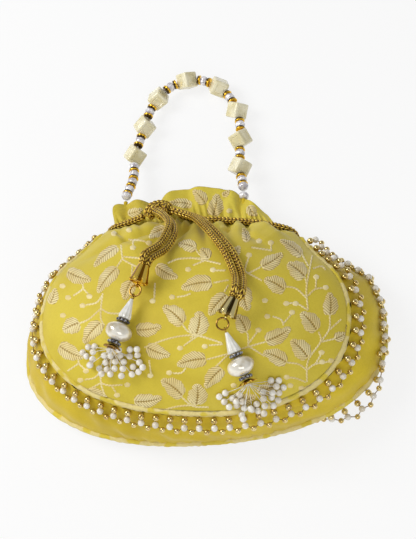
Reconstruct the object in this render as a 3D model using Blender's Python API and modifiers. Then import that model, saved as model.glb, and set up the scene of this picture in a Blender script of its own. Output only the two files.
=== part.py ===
"""Potli bag, drawn shut and lying on its back: two round embroidered panels joined by a
plain gusset, piping and bead lace on both seams, a gathered neck with a frill, a tied
drawstring with two beaded tassels, and a strung bead handle that swings at the neck.

Metres, +Z up, mouth towards +Y. The origin is the middle of the flat back on the table.
"""

import math
from collections import namedtuple

import bmesh
import bpy
from mathutils import Matrix, Vector
from mathutils.bvhtree import BVHTree
from mathutils.geometry import interpolate_bezier

# Clearance between pieces that touch on the real bag.
GAP = 0.0003

# Panels. Each seam outline is a superellipse about its own centre.
Outline = namedtuple("Outline", "x y half_width half_low half_high power turn seam_z neck_z")
FRONT = Outline(-0.0017, 0.0021, 0.0928, 0.0601, 0.0646, 2.25, math.radians(-7.6), 0.042, 0.026)
BACK = Outline(0.0, 0.0, 0.1115, 0.0645, 0.0838, 2.22, math.radians(0.3), 0.0090, 0.010)
PANEL_T = 0.0014
BELLY_X, BELLY_Y, BELLY_Z = -0.002, -0.006, 0.075
BELLY_POWER, BELLY_ROUND = 2.3, 0.80
BACK_FLAT = 0.72
GUSSET_BULGE = 0.004

# Neck, as the drawstring's own line across the bag, and its pleats.
NECK_LEFT, NECK_RIGHT = -0.060, 0.060
NECK_Y, NECK_TILT, NECK_BOW = 0.079, 0.10, 1.8
NECK_BLEND = math.radians(32)
PLEATS, PLEAT_DEPTH, PLEAT_REACH = 6, 0.0016, 0.30
NECK_TOP_Z, NECK_LOW_Z, NECK_INSET = 0.0235, 0.0125, 0.0041

# Frill above the neck. Its hem runs through these points.
HEM = [(-0.0582, 0.0885), (-0.0575, 0.0985), (-0.046, 0.1004), (-0.030, 0.099), (-0.018, 0.1055),
       (-0.003, 0.107), (0.013, 0.1045), (0.025, 0.1000), (0.033, 0.092), (0.045, 0.080)]
HEM_Z, HEM_T, HEM_WAVE = 0.017, 0.007, 0.0015

# Piping and bead lace on the two seams.
PIPING_R = 0.0020
LACE_W, LACE_T, LACE_PITCH, LACE_NOTCH = 0.0105, 0.003, 0.009, 0.0025
SEAM_START = 0.024

# The lace's lean from root to tip, in degrees above level: a level one on the front seam,
# and one on the back seam that is tucked under the bag and stands up round its right side.
LACE_LEVEL, LACE_TUCKED, LACE_STANDING = (0, -5, -10), (-30, -50, -165), (50, 75, 80)
LACE_TURNS_UP = (0.60, 0.72)

# Drawstring, its knot and the two pairs of free ends.
STRAND_R, NECK_SLACK = 0.0023, 0.0007
KNOT_AT, KNOT_HALF = Vector((-0.0240, 0.0830, 0.0335)), Vector((0.0100, 0.0075, 0.0060))
KNOT_MARGIN = 0.0006

# Where each pair of free ends lies on the belly, seen from above, from the knot to the cap,
# how far its two strands are rolled over each other, and where its ring and pearl lie.
Side = namedtuple("Side", "name knot_side route roll ring pearl")
LEFT = Side("left", (-0.004, 0.0, 0.0),
            [(-0.0195, 0.0690), (-0.0130, 0.0570), (-0.0111, 0.0430), (-0.0146, 0.0342),
             (-0.0186, 0.0258)],
            math.radians(50), (-0.0273, 0.0031), (-0.0373, -0.0201))
RIGHT = Side("right", (0.005, 0.0, 0.001),
             [(-0.0025, 0.0695), (0.0085, 0.0544), (0.0172, 0.0398), (0.0242, 0.0279),
              (0.0288, 0.0170), (0.0305, 0.0079), (0.0296, -0.0013)],
             math.radians(15), (0.0215, -0.0200), (0.0300, -0.0400))

# Tassels, from the cord cap down to the pearl fringe.
CAP_L, CAP_TOP_R, CAP_RIM_R = 0.0110, 0.0040, 0.0058
RING_LIFT, CORD_RISE = 0.0078, 0.0010
RING_R, RING_WIRE_R = 0.0034, 0.00045
EYE_R, EYE_WIRE_R = 0.0015, 0.00035
DROP_L, DROP_TIP_R, DROP_R = 0.0125, 0.0011, 0.0039
RONDELLE_R, RONDELLE_T = 0.0040, 0.0020
PEARL_R, PEARL_T = 0.0080, 0.0110
FLOWER_R, FLOWER_T = 0.0050, 0.0022
FRINGE_W, FRINGE_L, FRINGE_T = 0.040, 0.018, 0.011

# Handle: strung beads, spacers and cubes drilled from edge to edge. It swings about a line
# through its two ends, and its arch lies on the table through these points.
PIVOT_Y, PIVOT_Z, PIVOT_LEFT, PIVOT_RIGHT = 0.106, 0.017, -0.0508, 0.0272
ARCH = [(-0.0493, 0.1115, 0.0155), (-0.0470, 0.1220, 0.0130), (-0.0474, 0.1400, 0.0098),
        (-0.0425, 0.1600, 0.0082), (-0.0368, 0.1790, 0.0080), (-0.0255, 0.1935, 0.0080),
        (-0.0085, 0.1990, 0.0080), (0.0093, 0.1915, 0.0080), (0.0210, 0.1750, 0.0080),
        (0.0246, 0.1583, 0.0082), (0.0243, 0.1400, 0.0098), (0.0246, 0.1220, 0.0130),
        (0.0261, 0.1120, 0.0155)]
THREAD_R = 0.0008
BEAD_R, BEAD_L = 0.0035, 0.0047
SPACER_R, SPACER_L = 0.0031, 0.0023
CUBE, CUBE_CHAMFER, CUBE_SEAT, BORE_R = 0.0100, 0.0008, 0.0011, 0.0012
CUBE_ROLLS = [50, 52, 48, 30, 40, 135, 40, 130]
LOOP_R = 0.0013

SEAM_STEPS, MOUTH_STEPS = 40, 24

GOLD = (0.62, 0.43, 0.12)
CLOTH = (0.62, 0.50, 0.075)
IVORY = (0.80, 0.76, 0.62)
WHITE = (0.85, 0.83, 0.78)


def clear_scene():
    for obj in list(bpy.data.objects):
        bpy.data.objects.remove(obj)


def collection(name):
    made = bpy.data.collections.new(name)
    bpy.context.scene.collection.children.link(made)
    return made


def material(name, colour, roughness, metallic=0.0):
    made = bpy.data.materials.new(name)
    made.use_nodes = True
    shader = made.node_tree.nodes["Principled BSDF"]
    shader.inputs["Base Color"].default_value = (*colour, 1.0)
    shader.inputs["Roughness"].default_value = roughness
    shader.inputs["Metallic"].default_value = metallic
    return made


def add(name, data, look, matrix=None):
    """A named object of the bag, with its own material."""
    obj = bpy.data.objects.new(name, data)
    PARTS.objects.link(obj)
    if matrix is not None:
        obj.matrix_world = matrix
    data.materials.append(material(name, *look))
    return obj


def mesh_of(bm, name, smooth=True):
    mesh = bpy.data.meshes.new(name)
    bmesh.ops.recalc_face_normals(bm, faces=bm.faces)
    bm.to_mesh(mesh)
    bm.free()
    if smooth:
        mesh.shade_smooth()
        mesh.set_sharp_from_angle(angle=math.radians(40))
    return mesh


def grid(rows, closed=False):
    """An open sheet through rows of points; closed joins each row's ends."""
    bm = bmesh.new()
    verts = [[bm.verts.new(p) for p in row] for row in rows]
    for low, high in zip(verts, verts[1:]):
        count = len(low)
        for i in range(count if closed else count - 1):
            j = (i + 1) % count
            bm.faces.new((low[i], low[j], high[j], high[i]))
    return bm, verts


def cap_end(bm, ring):
    middle = bm.verts.new(sum((v.co for v in ring), Vector()) / len(ring))
    for a, b in zip(ring, ring[1:] + ring[:1]):
        bm.faces.new((a, b, middle))


def smooth_step(x):
    x = min(max(x, 0.0), 1.0)
    return x * x * (3 - 2 * x)


def through(points, steps):
    """Points on a smooth curve through the route's own points, evenly spaced by stretch."""
    route = [Vector(p) for p in points]
    ends = [2 * route[0] - route[1]] + route + [2 * route[-1] - route[-2]]
    lengths = [(b - a).length for a, b in zip(route, route[1:])]
    out = []
    for i, length in enumerate(lengths):
        before, a, b, after = ends[i:i + 4]
        out_handle = a + (b - before) * length / (3 * ((a - before).length + length))
        in_handle = b - (after - a) * length / (3 * ((after - b).length + length))
        count = max(2, round(steps * length / sum(lengths)) + 1)
        out += interpolate_bezier(a, out_handle, in_handle, b, count)[:-1]
    return out + [route[-1]]


def tube(name, points, radius, look, sides=1, radii=None):
    curve = bpy.data.curves.new(name, "CURVE")
    curve.dimensions = "3D"
    curve.bevel_depth = radius
    curve.bevel_resolution = sides
    curve.use_fill_caps = True
    line = curve.splines.new("POLY")
    line.points.add(len(points) - 1)
    for i, p in enumerate(points):
        line.points[i].co = (*p, 1.0)
        line.points[i].radius = radii[i] if radii else 1.0
    return add(name, curve, look)


def turned(profile, sides=16):
    """A closed solid turned about Z from (radius, z) points, from one end to the other."""
    bm = bmesh.new()
    rings = []
    for radius, z in profile:
        rings.append([bm.verts.new((radius * math.cos(2 * math.pi * k / sides),
                                    radius * math.sin(2 * math.pi * k / sides), z))
                      for k in range(sides)])
    for low, high in zip(rings, rings[1:]):
        for i in range(sides):
            j = (i + 1) % sides
            bm.faces.new((low[i], low[j], high[j], high[i]))
    cap_end(bm, rings[0])
    cap_end(bm, rings[-1])
    return bm


def facing(direction, up):
    """A rotation whose Z runs along direction and whose Y leans towards up."""
    z = Vector(direction).normalized()
    x = Vector(up).cross(z).normalized()
    return Matrix((x, z.cross(x), z)).transposed().to_4x4()


# Seams and surfaces of the body.

def neck_y(x):
    return NECK_Y - NECK_TILT * x - NECK_BOW * x * x


def neck_edge(x, z):
    """A point where a panel ends below the drawstring."""
    return Vector((x, neck_y(x) - STRAND_R - GAP, z))


def outline_radius(side, angle):
    c, s = math.cos(angle - side.turn), math.sin(angle - side.turn)
    half = side.half_high if s > 0 else side.half_low
    return (abs(c / side.half_width) ** side.power + abs(s / half) ** side.power) ** (-1 / side.power)


def polar(side, point):
    dx, dy = point.x - side.x, point.y - side.y
    return math.hypot(dx, dy), math.atan2(dy, dx)


def seam(side, u):
    """The seam from the neck's left end (u = 0), round the bottom, to its right end."""
    left_r, left = polar(side, neck_edge(NECK_LEFT, 0))
    right_r, right = polar(side, neck_edge(NECK_RIGHT, 0))
    right += 2 * math.pi
    angle = left + (right - left) * u
    from_left = smooth_step((angle - left) / NECK_BLEND)
    from_right = smooth_step((right - angle) / NECK_BLEND)
    full = outline_radius(side, angle)
    share = min(from_left, from_right)
    near = left_r if from_left < from_right else right_r
    radius = near + (full - near) * share
    z = side.neck_z + (side.seam_z - side.neck_z) * share
    return Vector((side.x + radius * math.cos(angle), side.y + radius * math.sin(angle), z))


def mouth(side, u):
    """The panel's gathered edge at the neck, from right (u = 0) to left."""
    return neck_edge(NECK_RIGHT + (NECK_LEFT - NECK_RIGHT) * u, side.neck_z)


def rim(side, i):
    """Column i of the whole rim: the seam's steps first, then the mouth's."""
    if i <= SEAM_STEPS:
        return seam(side, i / SEAM_STEPS)
    return mouth(side, (i - SEAM_STEPS) / MOUTH_STEPS)


def pleat(i, rho):
    """How far a pleat's valley lies below the plain surface."""
    u = (i - SEAM_STEPS) / MOUTH_STEPS
    if not 0 < u < 1:
        return 0.0
    reach = smooth_step((rho - 1 + PLEAT_REACH) / PLEAT_REACH)
    return PLEAT_DEPTH * reach * math.sin(math.pi * u) * (1 - math.cos(2 * math.pi * PLEATS * u))


def front_point(i, rho):
    edge = rim(FRONT, i)
    z = edge.z + (BELLY_Z - edge.z) * (1 - rho ** BELLY_POWER) ** BELLY_ROUND - pleat(i, rho)
    return Vector((BELLY_X + rho * (edge.x - BELLY_X), BELLY_Y + rho * (edge.y - BELLY_Y), z))


def back_point(i, rho):
    edge = rim(BACK, i)
    rise = max(0.0, (rho - BACK_FLAT) / (1 - BACK_FLAT)) ** 2
    return Vector((rho * edge.x, rho * edge.y, rise * edge.z))


def side_point(i, v):
    """The gusset's outer face, from the front seam (v = 0) to the back seam."""
    low, high = rim(BACK, i), rim(FRONT, i)
    out = Vector((low.x, low.y, 0)).normalized()
    return high.lerp(low, v) + out * GUSSET_BULGE * math.sin(math.pi * v) * is_gusset(i)


def is_gusset(i):
    return smooth_step(min(i, SEAM_STEPS - i) / 4) if i < SEAM_STEPS else 0.0


def inside(surface, i, share, depth, hint):
    """The point of a surface moved inwards by depth, square to it."""
    columns = SEAM_STEPS + MOUTH_STEPS
    here = surface(i, share)
    across = surface((i + 1) % columns, share) - surface((i - 1) % columns, share)
    along = surface(i, min(share + 0.01, 0.999)) - surface(i, max(share - 0.01, 0.001))
    normal = across.cross(along).normalized()
    return here - normal * depth * (1 if normal.dot(hint(here)) > 0 else -1)


def panel_end(surface, i, clear):
    """The share of the way out at which a panel keeps this far from its rim line."""
    low, high = 0.5, 1.0
    edge = surface(i, 1.0)
    for _ in range(30):
        middle = (low + high) / 2
        if (surface(i, middle) - edge).length > clear:
            low = middle
        else:
            high = middle
    return low


COLUMNS = range(SEAM_STEPS + MOUTH_STEPS)
EDGE_CLEAR = PIPING_R + 2 * GAP
SKIN = max(PANEL_T, PIPING_R) + 3 * GAP


def shell(name, bm, look, inward_from):
    """A sheet thickened inwards into a closed skin."""
    bmesh.ops.recalc_face_normals(bm, faces=bm.faces)
    bm.faces.ensure_lookup_table()
    lean = sum((f.calc_center_median() - inward_from).dot(f.normal) * f.calc_area() for f in bm.faces)
    if lean < 0:
        bmesh.ops.reverse_faces(bm, faces=bm.faces)
    mesh = bpy.data.meshes.new(name)
    bm.to_mesh(mesh)
    bm.free()
    mesh.shade_smooth()
    obj = add(name, mesh, look)
    wall = obj.modifiers.new("Cloth", "SOLIDIFY")
    wall.thickness = PANEL_T
    wall.offset = -1
    wall.use_even_offset = True
    return obj


def panel(name, surface, shares, look):
    bm, verts = grid(panel_rows(surface, shares), closed=True)
    pole = bm.verts.new(surface(0, 0.0))
    ring = verts[0]
    for a, b in zip(ring, ring[1:] + ring[:1]):
        bm.faces.new((b, a, pole))
    return shell(name, bm, look, Vector((0, 0, BACK.seam_z + GUSSET_BULGE)))


def panel_rows(surface, shares):
    rows = []
    for share in shares:
        rows.append([surface(i, share * panel_end(surface, i, EDGE_CLEAR)) for i in COLUMNS])
    return rows


def belly_tree():
    """The front panel's faceted outer face, for laying things on it."""
    bm, verts = grid(panel_rows(front_point, SHARES), closed=True)
    pole = bm.verts.new(front_point(0, 0.0))
    for a, b in zip(verts[0], verts[0][1:] + verts[0][:1]):
        bm.faces.new((b, a, pole))
    bmesh.ops.triangulate(bm, faces=bm.faces)
    tree = BVHTree.FromBMesh(bm)
    bm.free()
    return tree


def body():
    panel("front_panel", front_point, SHARES, (CLOTH, 0.75))
    panel("back_panel", back_point, (0.4, BACK_FLAT, 0.86, 1.0), (CLOTH, 0.75))

    rows = []
    for k in range(5):
        row = []
        for i in range(SEAM_STEPS + 1):
            trim = EDGE_CLEAR / (rim(FRONT, i) - rim(BACK, i)).length
            row.append(side_point(i, trim + (1 - 2 * trim) * k / 4))
        rows.append(row)
    bm, _ = grid(rows)
    shell("gusset", bm, (CLOTH, 0.6), Vector((0, 0, FRONT.neck_z)))

    up = lambda p: Vector((0, 0, 1))
    down = lambda p: Vector((0, 0, -1))
    out = lambda p: Vector((p.x, p.y, 0))
    loops = [[inside(front_point, i, share, SKIN, up) for i in COLUMNS]
             for share in (0.15, 0.35, 0.55, 0.70, 0.80, 0.87)]
    loops += [[inside(side_point, i, v, SKIN, out) for i in COLUMNS] for v in (0.26, 0.5, 0.8)]
    loops += [[inside(back_point, i, share, SKIN, down) for i in COLUMNS]
              for share in (0.90, BACK_FLAT, 0.35)]
    bm, verts = grid(loops, closed=True)
    cap_end(bm, verts[0])
    cap_end(bm, verts[-1])
    add("lining_pouch", mesh_of(bm, "lining_pouch"), ((0.60, 0.50, 0.20), 0.6))


def seam_frame(side, u):
    """A seam point, and the direction away from the bag there."""
    here = seam(side, u)
    along = (seam(side, u + 0.002) - seam(side, u - 0.002)).normalized()
    out = along.cross(Vector((0, 0, 1))).normalized()
    if out.dot(Vector((here.x, here.y, 0))) < 0:
        out.negate()
    return here, out


def lace_section(side, k, count):
    """The lace's cross-section at one half pitch: root, middle and tip, over and under."""
    u = SEAM_START + (1 - 2 * SEAM_START) * k / count
    here, out = seam_frame(side, u)
    up = Vector((0, 0, 1))
    lean = LACE_LEVEL
    if side is BACK:
        start, end = LACE_TURNS_UP
        share = smooth_step((u - start) / (end - start))
        lean = [a + (b - a) * share for a, b in zip(LACE_TUCKED, LACE_STANDING)]
    ways = [out * math.cos(math.radians(a)) + up * math.sin(math.radians(a)) for a in lean]
    squares = [out * -math.sin(math.radians(a)) + up * math.cos(math.radians(a)) for a in lean]
    root = here + ways[0] * (PIPING_R + 1.5 * GAP)
    middle = root + ways[1] * LACE_W / 2
    tip = middle + ways[2] * (LACE_W / 2 - LACE_NOTCH * (k % 2))
    thick = [(root, squares[1], 0.25), (middle, (squares[1] + squares[2]) / 2, 0.5),
             (tip, squares[2], 0.3)]
    over = [p + way * LACE_T * share for p, way, share in thick]
    return over + [p - way * LACE_T * share for p, way, share in reversed(thick)]


def trims():
    for side, word in ((FRONT, "front"), (BACK, "back")):
        steps = SEAM_STEPS + 8
        shares = [SEAM_START + (1 - 2 * SEAM_START) * k / steps for k in range(steps + 1)]
        tube(f"{word}_piping", [seam(side, u) for u in shares], PIPING_R, (CLOTH, 0.7))

        fine = [seam(side, u) for u in shares]
        length = sum((b - a).length for a, b in zip(fine, fine[1:]))
        half_pitches = 2 * round(length / LACE_PITCH)
        loops = [lace_section(side, k, half_pitches) for k in range(half_pitches + 1)]
        bm, verts = grid(loops, closed=True)
        cap_end(bm, verts[0])
        cap_end(bm, verts[-1])
        add(f"{word}_bead_lace", mesh_of(bm, f"{word}_bead_lace"), (GOLD, 0.3, 0.8))


def frill():
    """A flat gathered band, thin where the drawstring holds it and waved at its hem."""
    steps = 36
    hem = through([(*p, HEM_Z) for p in HEM], steps)
    count = len(hem)
    start = STRAND_R + SKIN - GAP
    rows_top, rows_low = [], []
    middle = (NECK_TOP_Z + NECK_LOW_Z) / 2
    half_neck = (NECK_TOP_Z - NECK_LOW_Z) / 2
    for share in (0.0, 0.28, 0.5, 0.75, 1.0):
        top, low = [], []
        for k, edge in enumerate(hem):
            w = k / (count - 1)
            x = NECK_LEFT + NECK_INSET + (NECK_RIGHT - NECK_LEFT - 2 * NECK_INSET) * w
            base = Vector((x, neck_y(x) - start, middle))
            here = base.lerp(edge, share)
            flare = smooth_step((share - 0.28) / 0.72)
            rounded = half_neck * (1 - 0.5 * abs(2 * w - 1) ** 6)
            half = rounded + (HEM_T / 2 - rounded) * flare
            wave = HEM_WAVE * flare * math.sin(2 * math.pi * PLEATS * w)
            centre = middle + (HEM_Z - middle) * flare + wave
            top.append(Vector((here.x, here.y, centre + half)))
            low.append(Vector((here.x, here.y, centre - half)))
        rows_top.append(top)
        rows_low.append(low)
    bm = bmesh.new()
    top = [[bm.verts.new(p) for p in row] for row in rows_top]
    low = [[bm.verts.new(p) for p in row] for row in rows_low]
    for sheet in (top, low):
        for a, b in zip(sheet, sheet[1:]):
            for k in range(count - 1):
                bm.faces.new((a[k], a[k + 1], b[k + 1], b[k]))
    for k in range(count - 1):
        bm.faces.new((top[0][k], low[0][k], low[0][k + 1], top[0][k + 1]))
        bm.faces.new((top[-1][k], low[-1][k], low[-1][k + 1], top[-1][k + 1]))
    for r in range(len(top) - 1):
        bm.faces.new((top[r][0], top[r + 1][0], low[r + 1][0], low[r][0]))
        bm.faces.new((top[r][-1], top[r + 1][-1], low[r + 1][-1], low[r][-1]))
    add("neck_frill", mesh_of(bm, "neck_frill"), (CLOTH, 0.6))


# Drawstring and free ends.

def neck_point(x, z):
    return Vector((x, neck_y(x), z))


def drawstring():
    """From the knot's right side round behind the neck to its left side."""
    over = NECK_TOP_Z + NECK_SLACK + STRAND_R
    under = NECK_LOW_Z - NECK_SLACK - STRAND_R
    middle = (over + under) / 2
    beside = KNOT_HALF.x + KNOT_MARGIN
    right_end = KNOT_AT + Vector((beside, -0.001, -0.0035))
    left_end = KNOT_AT + Vector((-beside, -0.001, -0.0020))
    route = [right_end, neck_point(right_end.x + 0.009, over + 0.0006)]
    route += [neck_point(x, over) for x in (0.012, 0.030, 0.049)]
    side = 0.0012
    route += [neck_point(NECK_RIGHT - side, over - 0.0036), neck_point(NECK_RIGHT, middle),
              neck_point(NECK_RIGHT - side, under + 0.0036)]
    route += [neck_point(x, under) for x in (0.049, 0.025, 0.0, -0.025, -0.049)]
    route += [neck_point(NECK_LEFT + side, under + 0.0036), neck_point(NECK_LEFT, middle),
              neck_point(NECK_LEFT + side, over - 0.0036), neck_point(-0.049, over), left_end]
    tube("drawstring", through(route, 66), STRAND_R, (GOLD, 0.45, 0.6))

    bm = bmesh.new()
    bmesh.ops.create_uvsphere(bm, u_segments=16, v_segments=10, radius=1.0)
    bmesh.ops.scale(bm, vec=KNOT_HALF, verts=bm.verts)
    bmesh.ops.translate(bm, vec=KNOT_AT, verts=bm.verts)
    add("drawstring_knot", mesh_of(bm, "drawstring_knot"), (GOLD, 0.45, 0.6))


def on_cloth(x, y, height):
    """The point this far above the front panel over (x, y), and the panel's normal there."""
    spot, normal, _, _ = BELLY.ray_cast(Vector((x, y, 1)), Vector((0, 0, -1)))
    if normal.z < 0:
        normal.negate()
    return spot + normal * height, normal


def knot_exit(start, target):
    """The last point on the way from start to target that is clear of the knot."""
    low, high = 0.0, 1.0
    for _ in range(30):
        share = (low + high) / 2
        away = start.lerp(target, share) - KNOT_AT
        depth = Vector((away.x / KNOT_HALF.x, away.y / KNOT_HALF.y, away.z / KNOT_HALF.z)).length
        if (depth - 1) * min(KNOT_HALF) > KNOT_MARGIN + STRAND_R * 0.4:
            low = share
        else:
            high = share
    return start.lerp(target, low)


Tassel = namedtuple("Tassel", "ring along cord_way normal axis")


def tassel_frame(side):
    """The ring's centre and plane, the tassel's and the cap's directions, and the hinge."""
    ring, cloth = on_cloth(*side.ring, RING_LIFT)
    pearl, _ = on_cloth(*side.pearl, PEARL_R + GAP)
    cord_end, _ = on_cloth(*side.route[-1], CAP_TOP_R + 4 * GAP)
    along = (pearl - ring).normalized()
    normal = (cloth - along * along.dot(cloth)).normalized()
    cord_way = ring - cord_end
    cord_way = (cord_way - normal * normal.dot(cord_way)).normalized()
    return Tassel(ring, along, cord_way, normal, along.cross(normal))


def free_ends(side, frame):
    """Two strands side by side over the belly, from the knot to the cap."""
    apart = STRAND_R + GAP / 2
    cap_top = frame.ring - frame.cord_way * (RING_R + EYE_REACH + CAP_L + 3 * GAP)
    for word, sign in (("a", -1), ("b", 1)):
        points = []
        for k, (x, y) in enumerate(side.route):
            ahead = side.route[min(k + 1, len(side.route) - 1)]
            behind = side.route[max(k - 1, 0)]
            lift = STRAND_R + 4 * GAP + apart * math.sin(side.roll) + CORD_RISE * (k == 0)
            point, normal = on_cloth(x, y, lift)
            run = Vector((ahead[0] - behind[0], ahead[1] - behind[1], 0))
            across = run.cross(normal).normalized()
            offset = across * math.cos(side.roll) + normal * math.sin(side.roll)
            points.append(point + offset * apart * sign)
        across = frame.cord_way.cross(normal).normalized()
        offset = across * math.cos(side.roll) + normal * math.sin(side.roll)
        points[-1] = cap_top + (offset * sign - frame.cord_way * 2) * apart
        points.append(cap_top + offset * apart * sign)
        target = KNOT_AT + Vector(side.knot_side) + (points[0] - on_cloth(*side.route[0], lift)[0])
        route = [knot_exit(points[0], target)] + points
        length = sum((b - a).length for a, b in zip(route, route[1:]))
        tube(f"{side.name}_cord_{word}", through(route, round(length / (2 * STRAND_R))),
             STRAND_R, (GOLD, 0.45, 0.6), sides=2)


def torus(bm, centre, axis, major, minor, steps=14, sides=6):
    """A ring of round wire about an axis, added to a mesh in the making."""
    turn = facing(axis, (0.3, 0.2, 1.0))
    rings = []
    for k in range(steps):
        a = 2 * math.pi * k / steps
        ring = []
        for j in range(sides):
            b = 2 * math.pi * j / sides
            r = major + minor * math.cos(b)
            spot = turn @ Vector((r * math.cos(a), r * math.sin(a), minor * math.sin(b)))
            ring.append(bm.verts.new(centre + spot))
        rings.append(ring)
    for low, high in zip(rings, rings[1:] + rings[:1]):
        for j in range(sides):
            bm.faces.new((low[j], low[(j + 1) % sides], high[(j + 1) % sides], high[j]))


def with_eye(name, profile, start, way, eye, axis, look):
    """A turned piece from start along way, joined to a wire eye at its end."""
    solid = turned(profile)
    bmesh.ops.transform(solid, matrix=Matrix.Translation(start) @ facing(way, (0.3, 0.2, 1.0)),
                        verts=solid.verts)
    obj = add(name, mesh_of(solid, name), look)
    wire = bmesh.new()
    torus(wire, eye, axis, EYE_R, EYE_WIRE_R)
    helper = bpy.data.objects.new(name + "_eye", mesh_of(wire, name + "_eye"))
    HELPERS.objects.link(helper)
    helper.hide_render = True
    helper.display_type = "WIRE"
    join = obj.modifiers.new("Eye", "BOOLEAN")
    join.operation = "UNION"
    join.object = helper
    return obj


EYE_SEAT = EYE_R - EYE_WIRE_R - RING_WIRE_R - GAP
EYE_REACH = EYE_SEAT + EYE_R


def round_piece(name, profile, frame, start, look):
    """A turned piece on the tassel's own line, start away from the hinge."""
    solid = turned(profile)
    hinge = frame.ring + frame.along * RING_R
    place = Matrix.Translation(hinge + frame.along * start) @ facing(frame.along, (0.3, 0.2, 1.0))
    bmesh.ops.transform(solid, matrix=place, verts=solid.verts)
    add(name, mesh_of(solid, name), look)


def barrel(radius, length, ends=0.55, steps=4):
    """The profile of a bead: round between two smaller flat ends."""
    span = math.acos(ends)
    profile = []
    for k in range(steps + 1):
        a = -span + 2 * span * k / steps
        profile.append((radius * math.cos(a), length / 2 * (1 + math.sin(a) / math.sin(span))))
    return profile


def tassel(side, frame):
    """Cap, ring, fluted drop, pearl between two rondelles, flower cap and pearl fringe."""
    top = frame.ring - frame.cord_way * RING_R
    rim = top - frame.cord_way * EYE_REACH
    cap = [(CAP_RIM_R * 0.5, -EYE_WIRE_R), (CAP_RIM_R, 0.0), (CAP_RIM_R * 0.93, 0.0014),
           (CAP_TOP_R, CAP_L)]
    with_eye(f"{side.name}_cord_cap", cap, rim, -frame.cord_way,
             top - frame.cord_way * EYE_SEAT, frame.normal.cross(frame.cord_way),
             (GOLD, 0.25, 1.0))

    ring = bmesh.new()
    torus(ring, frame.ring, frame.normal, RING_R, RING_WIRE_R, steps=28)
    add(f"{side.name}_jump_ring", mesh_of(ring, f"{side.name}_jump_ring"), (GOLD, 0.25, 1.0))

    hinge = frame.ring + frame.along * RING_R
    eye = hinge + frame.along * EYE_SEAT
    drop = [(DROP_TIP_R, -EYE_WIRE_R), (DROP_R, DROP_L * 0.86), (DROP_R * 0.85, DROP_L)]
    with_eye(f"{side.name}_drop_bead", drop, hinge + frame.along * EYE_REACH, frame.along, eye,
             frame.axis, (WHITE, 0.3))

    at = EYE_REACH + DROP_L + GAP
    for word, radius, length, look in (
            ("upper_rondelle", RONDELLE_R, RONDELLE_T, ((0.5, 0.5, 0.5), 0.25, 0.9)),
            ("round_pearl", PEARL_R, PEARL_T, (WHITE, 0.25)),
            ("lower_rondelle", RONDELLE_R, RONDELLE_T, ((0.5, 0.5, 0.5), 0.25, 0.9)),
            ("flower_cap", FLOWER_R, FLOWER_T, (GOLD, 0.3, 1.0))):
        steps = 6 if word == "round_pearl" else 2
        ends = 0.35 if word == "round_pearl" else 0.8
        round_piece(f"{side.name}_{word}", barrel(radius, length, ends, steps), frame, at, look)
        at += length + GAP
    fringe(side, frame, frame.ring + frame.along * (RING_R + at))


def fringe(side, frame, root):
    """The bunched pearl threads: a fan that starts at the flower cap and rests on the cloth."""
    spot, _, _, height = BELLY.find_nearest(root)
    loops = []
    for share, width, thick in ((0.0, 0.20, 0.45), (0.2, 0.55, 0.75), (0.4, 0.92, 1.0),
                                (0.65, 1.0, 1.0), (0.85, 0.80, 0.85), (1.0, 0.45, 0.5)):
        half_t = FRINGE_T / 2 * thick
        spot, normal, _, _ = BELLY.find_nearest(root + frame.along * FRINGE_L * share)
        if normal.z < 0:
            normal.negate()
        resting = half_t + 2 * GAP
        centre = spot + normal * (resting + (height - resting) * (1 - share) ** 2)
        settled = smooth_step(share / 0.4)
        across = (frame.axis - normal * frame.axis.dot(normal) * settled).normalized()
        level = across.cross(normal)
        if level.dot(frame.along) < 0:
            level.negate()
        over = across.cross(frame.along.lerp(level, settled)).normalized()
        if over.dot(normal) < 0:
            over.negate()
        loops.append([centre + across * math.cos(a) * FRINGE_W / 2 * width
                      + over * math.sin(a) * half_t
                      for a in (2 * math.pi * k / 12 for k in range(12))])
    bm, verts = grid(loops, closed=True)
    cap_end(bm, verts[0])
    cap_end(bm, verts[-1])
    add(f"{side.name}_pearl_fringe", mesh_of(bm, f"{side.name}_pearl_fringe"), (WHITE, 0.3))


# Handle.

CUBE_ALONG = (CUBE - CUBE_CHAMFER) * math.sqrt(2)
BEADS_AT_LEFT, BEADS_AT_RIGHT = 5, 2


def strung():
    """The strand's pieces in order, from the left pivot to the right one."""
    order = ["half_bead"] + ["spacer", "bead"] * (BEADS_AT_LEFT - 1)
    for k in range(len(CUBE_ROLLS)):
        order += ["cube", "spacer", "bead", "spacer"]
    order = order[:-3] + ["spacer", "bead"] * (BEADS_AT_RIGHT - 1) + ["spacer", "half_bead"]
    return order


LENGTHS = {"half_bead": BEAD_L / 2, "bead": BEAD_L, "spacer": SPACER_L,
           "cube": CUBE_ALONG + 2 * CUBE_SEAT}


def arch(scale):
    """The strand's line with its arch stretched away from the pivots."""
    route = [(PIVOT_LEFT, PIVOT_Y, PIVOT_Z)]
    route += [(x, PIVOT_Y + (y - PIVOT_Y) * scale, z) for x, y, z in ARCH]
    return through(route + [(PIVOT_RIGHT, PIVOT_Y, PIVOT_Z)], 300)


def length_of(points):
    return sum((b - a).length for a, b in zip(points, points[1:]))


def fitted_arch(length):
    """The arch that is just as long as the pieces strung on it."""
    low, high = 0.3, 3.0
    for _ in range(40):
        scale = (low + high) / 2
        if length_of(arch(scale)) < length:
            low = scale
        else:
            high = scale
    return arch(low)


def at_length(points, distance):
    for a, b in zip(points, points[1:]):
        step = (b - a).length
        if distance <= step:
            return a.lerp(b, distance / step)
        distance -= step
    return points[-1]


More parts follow.
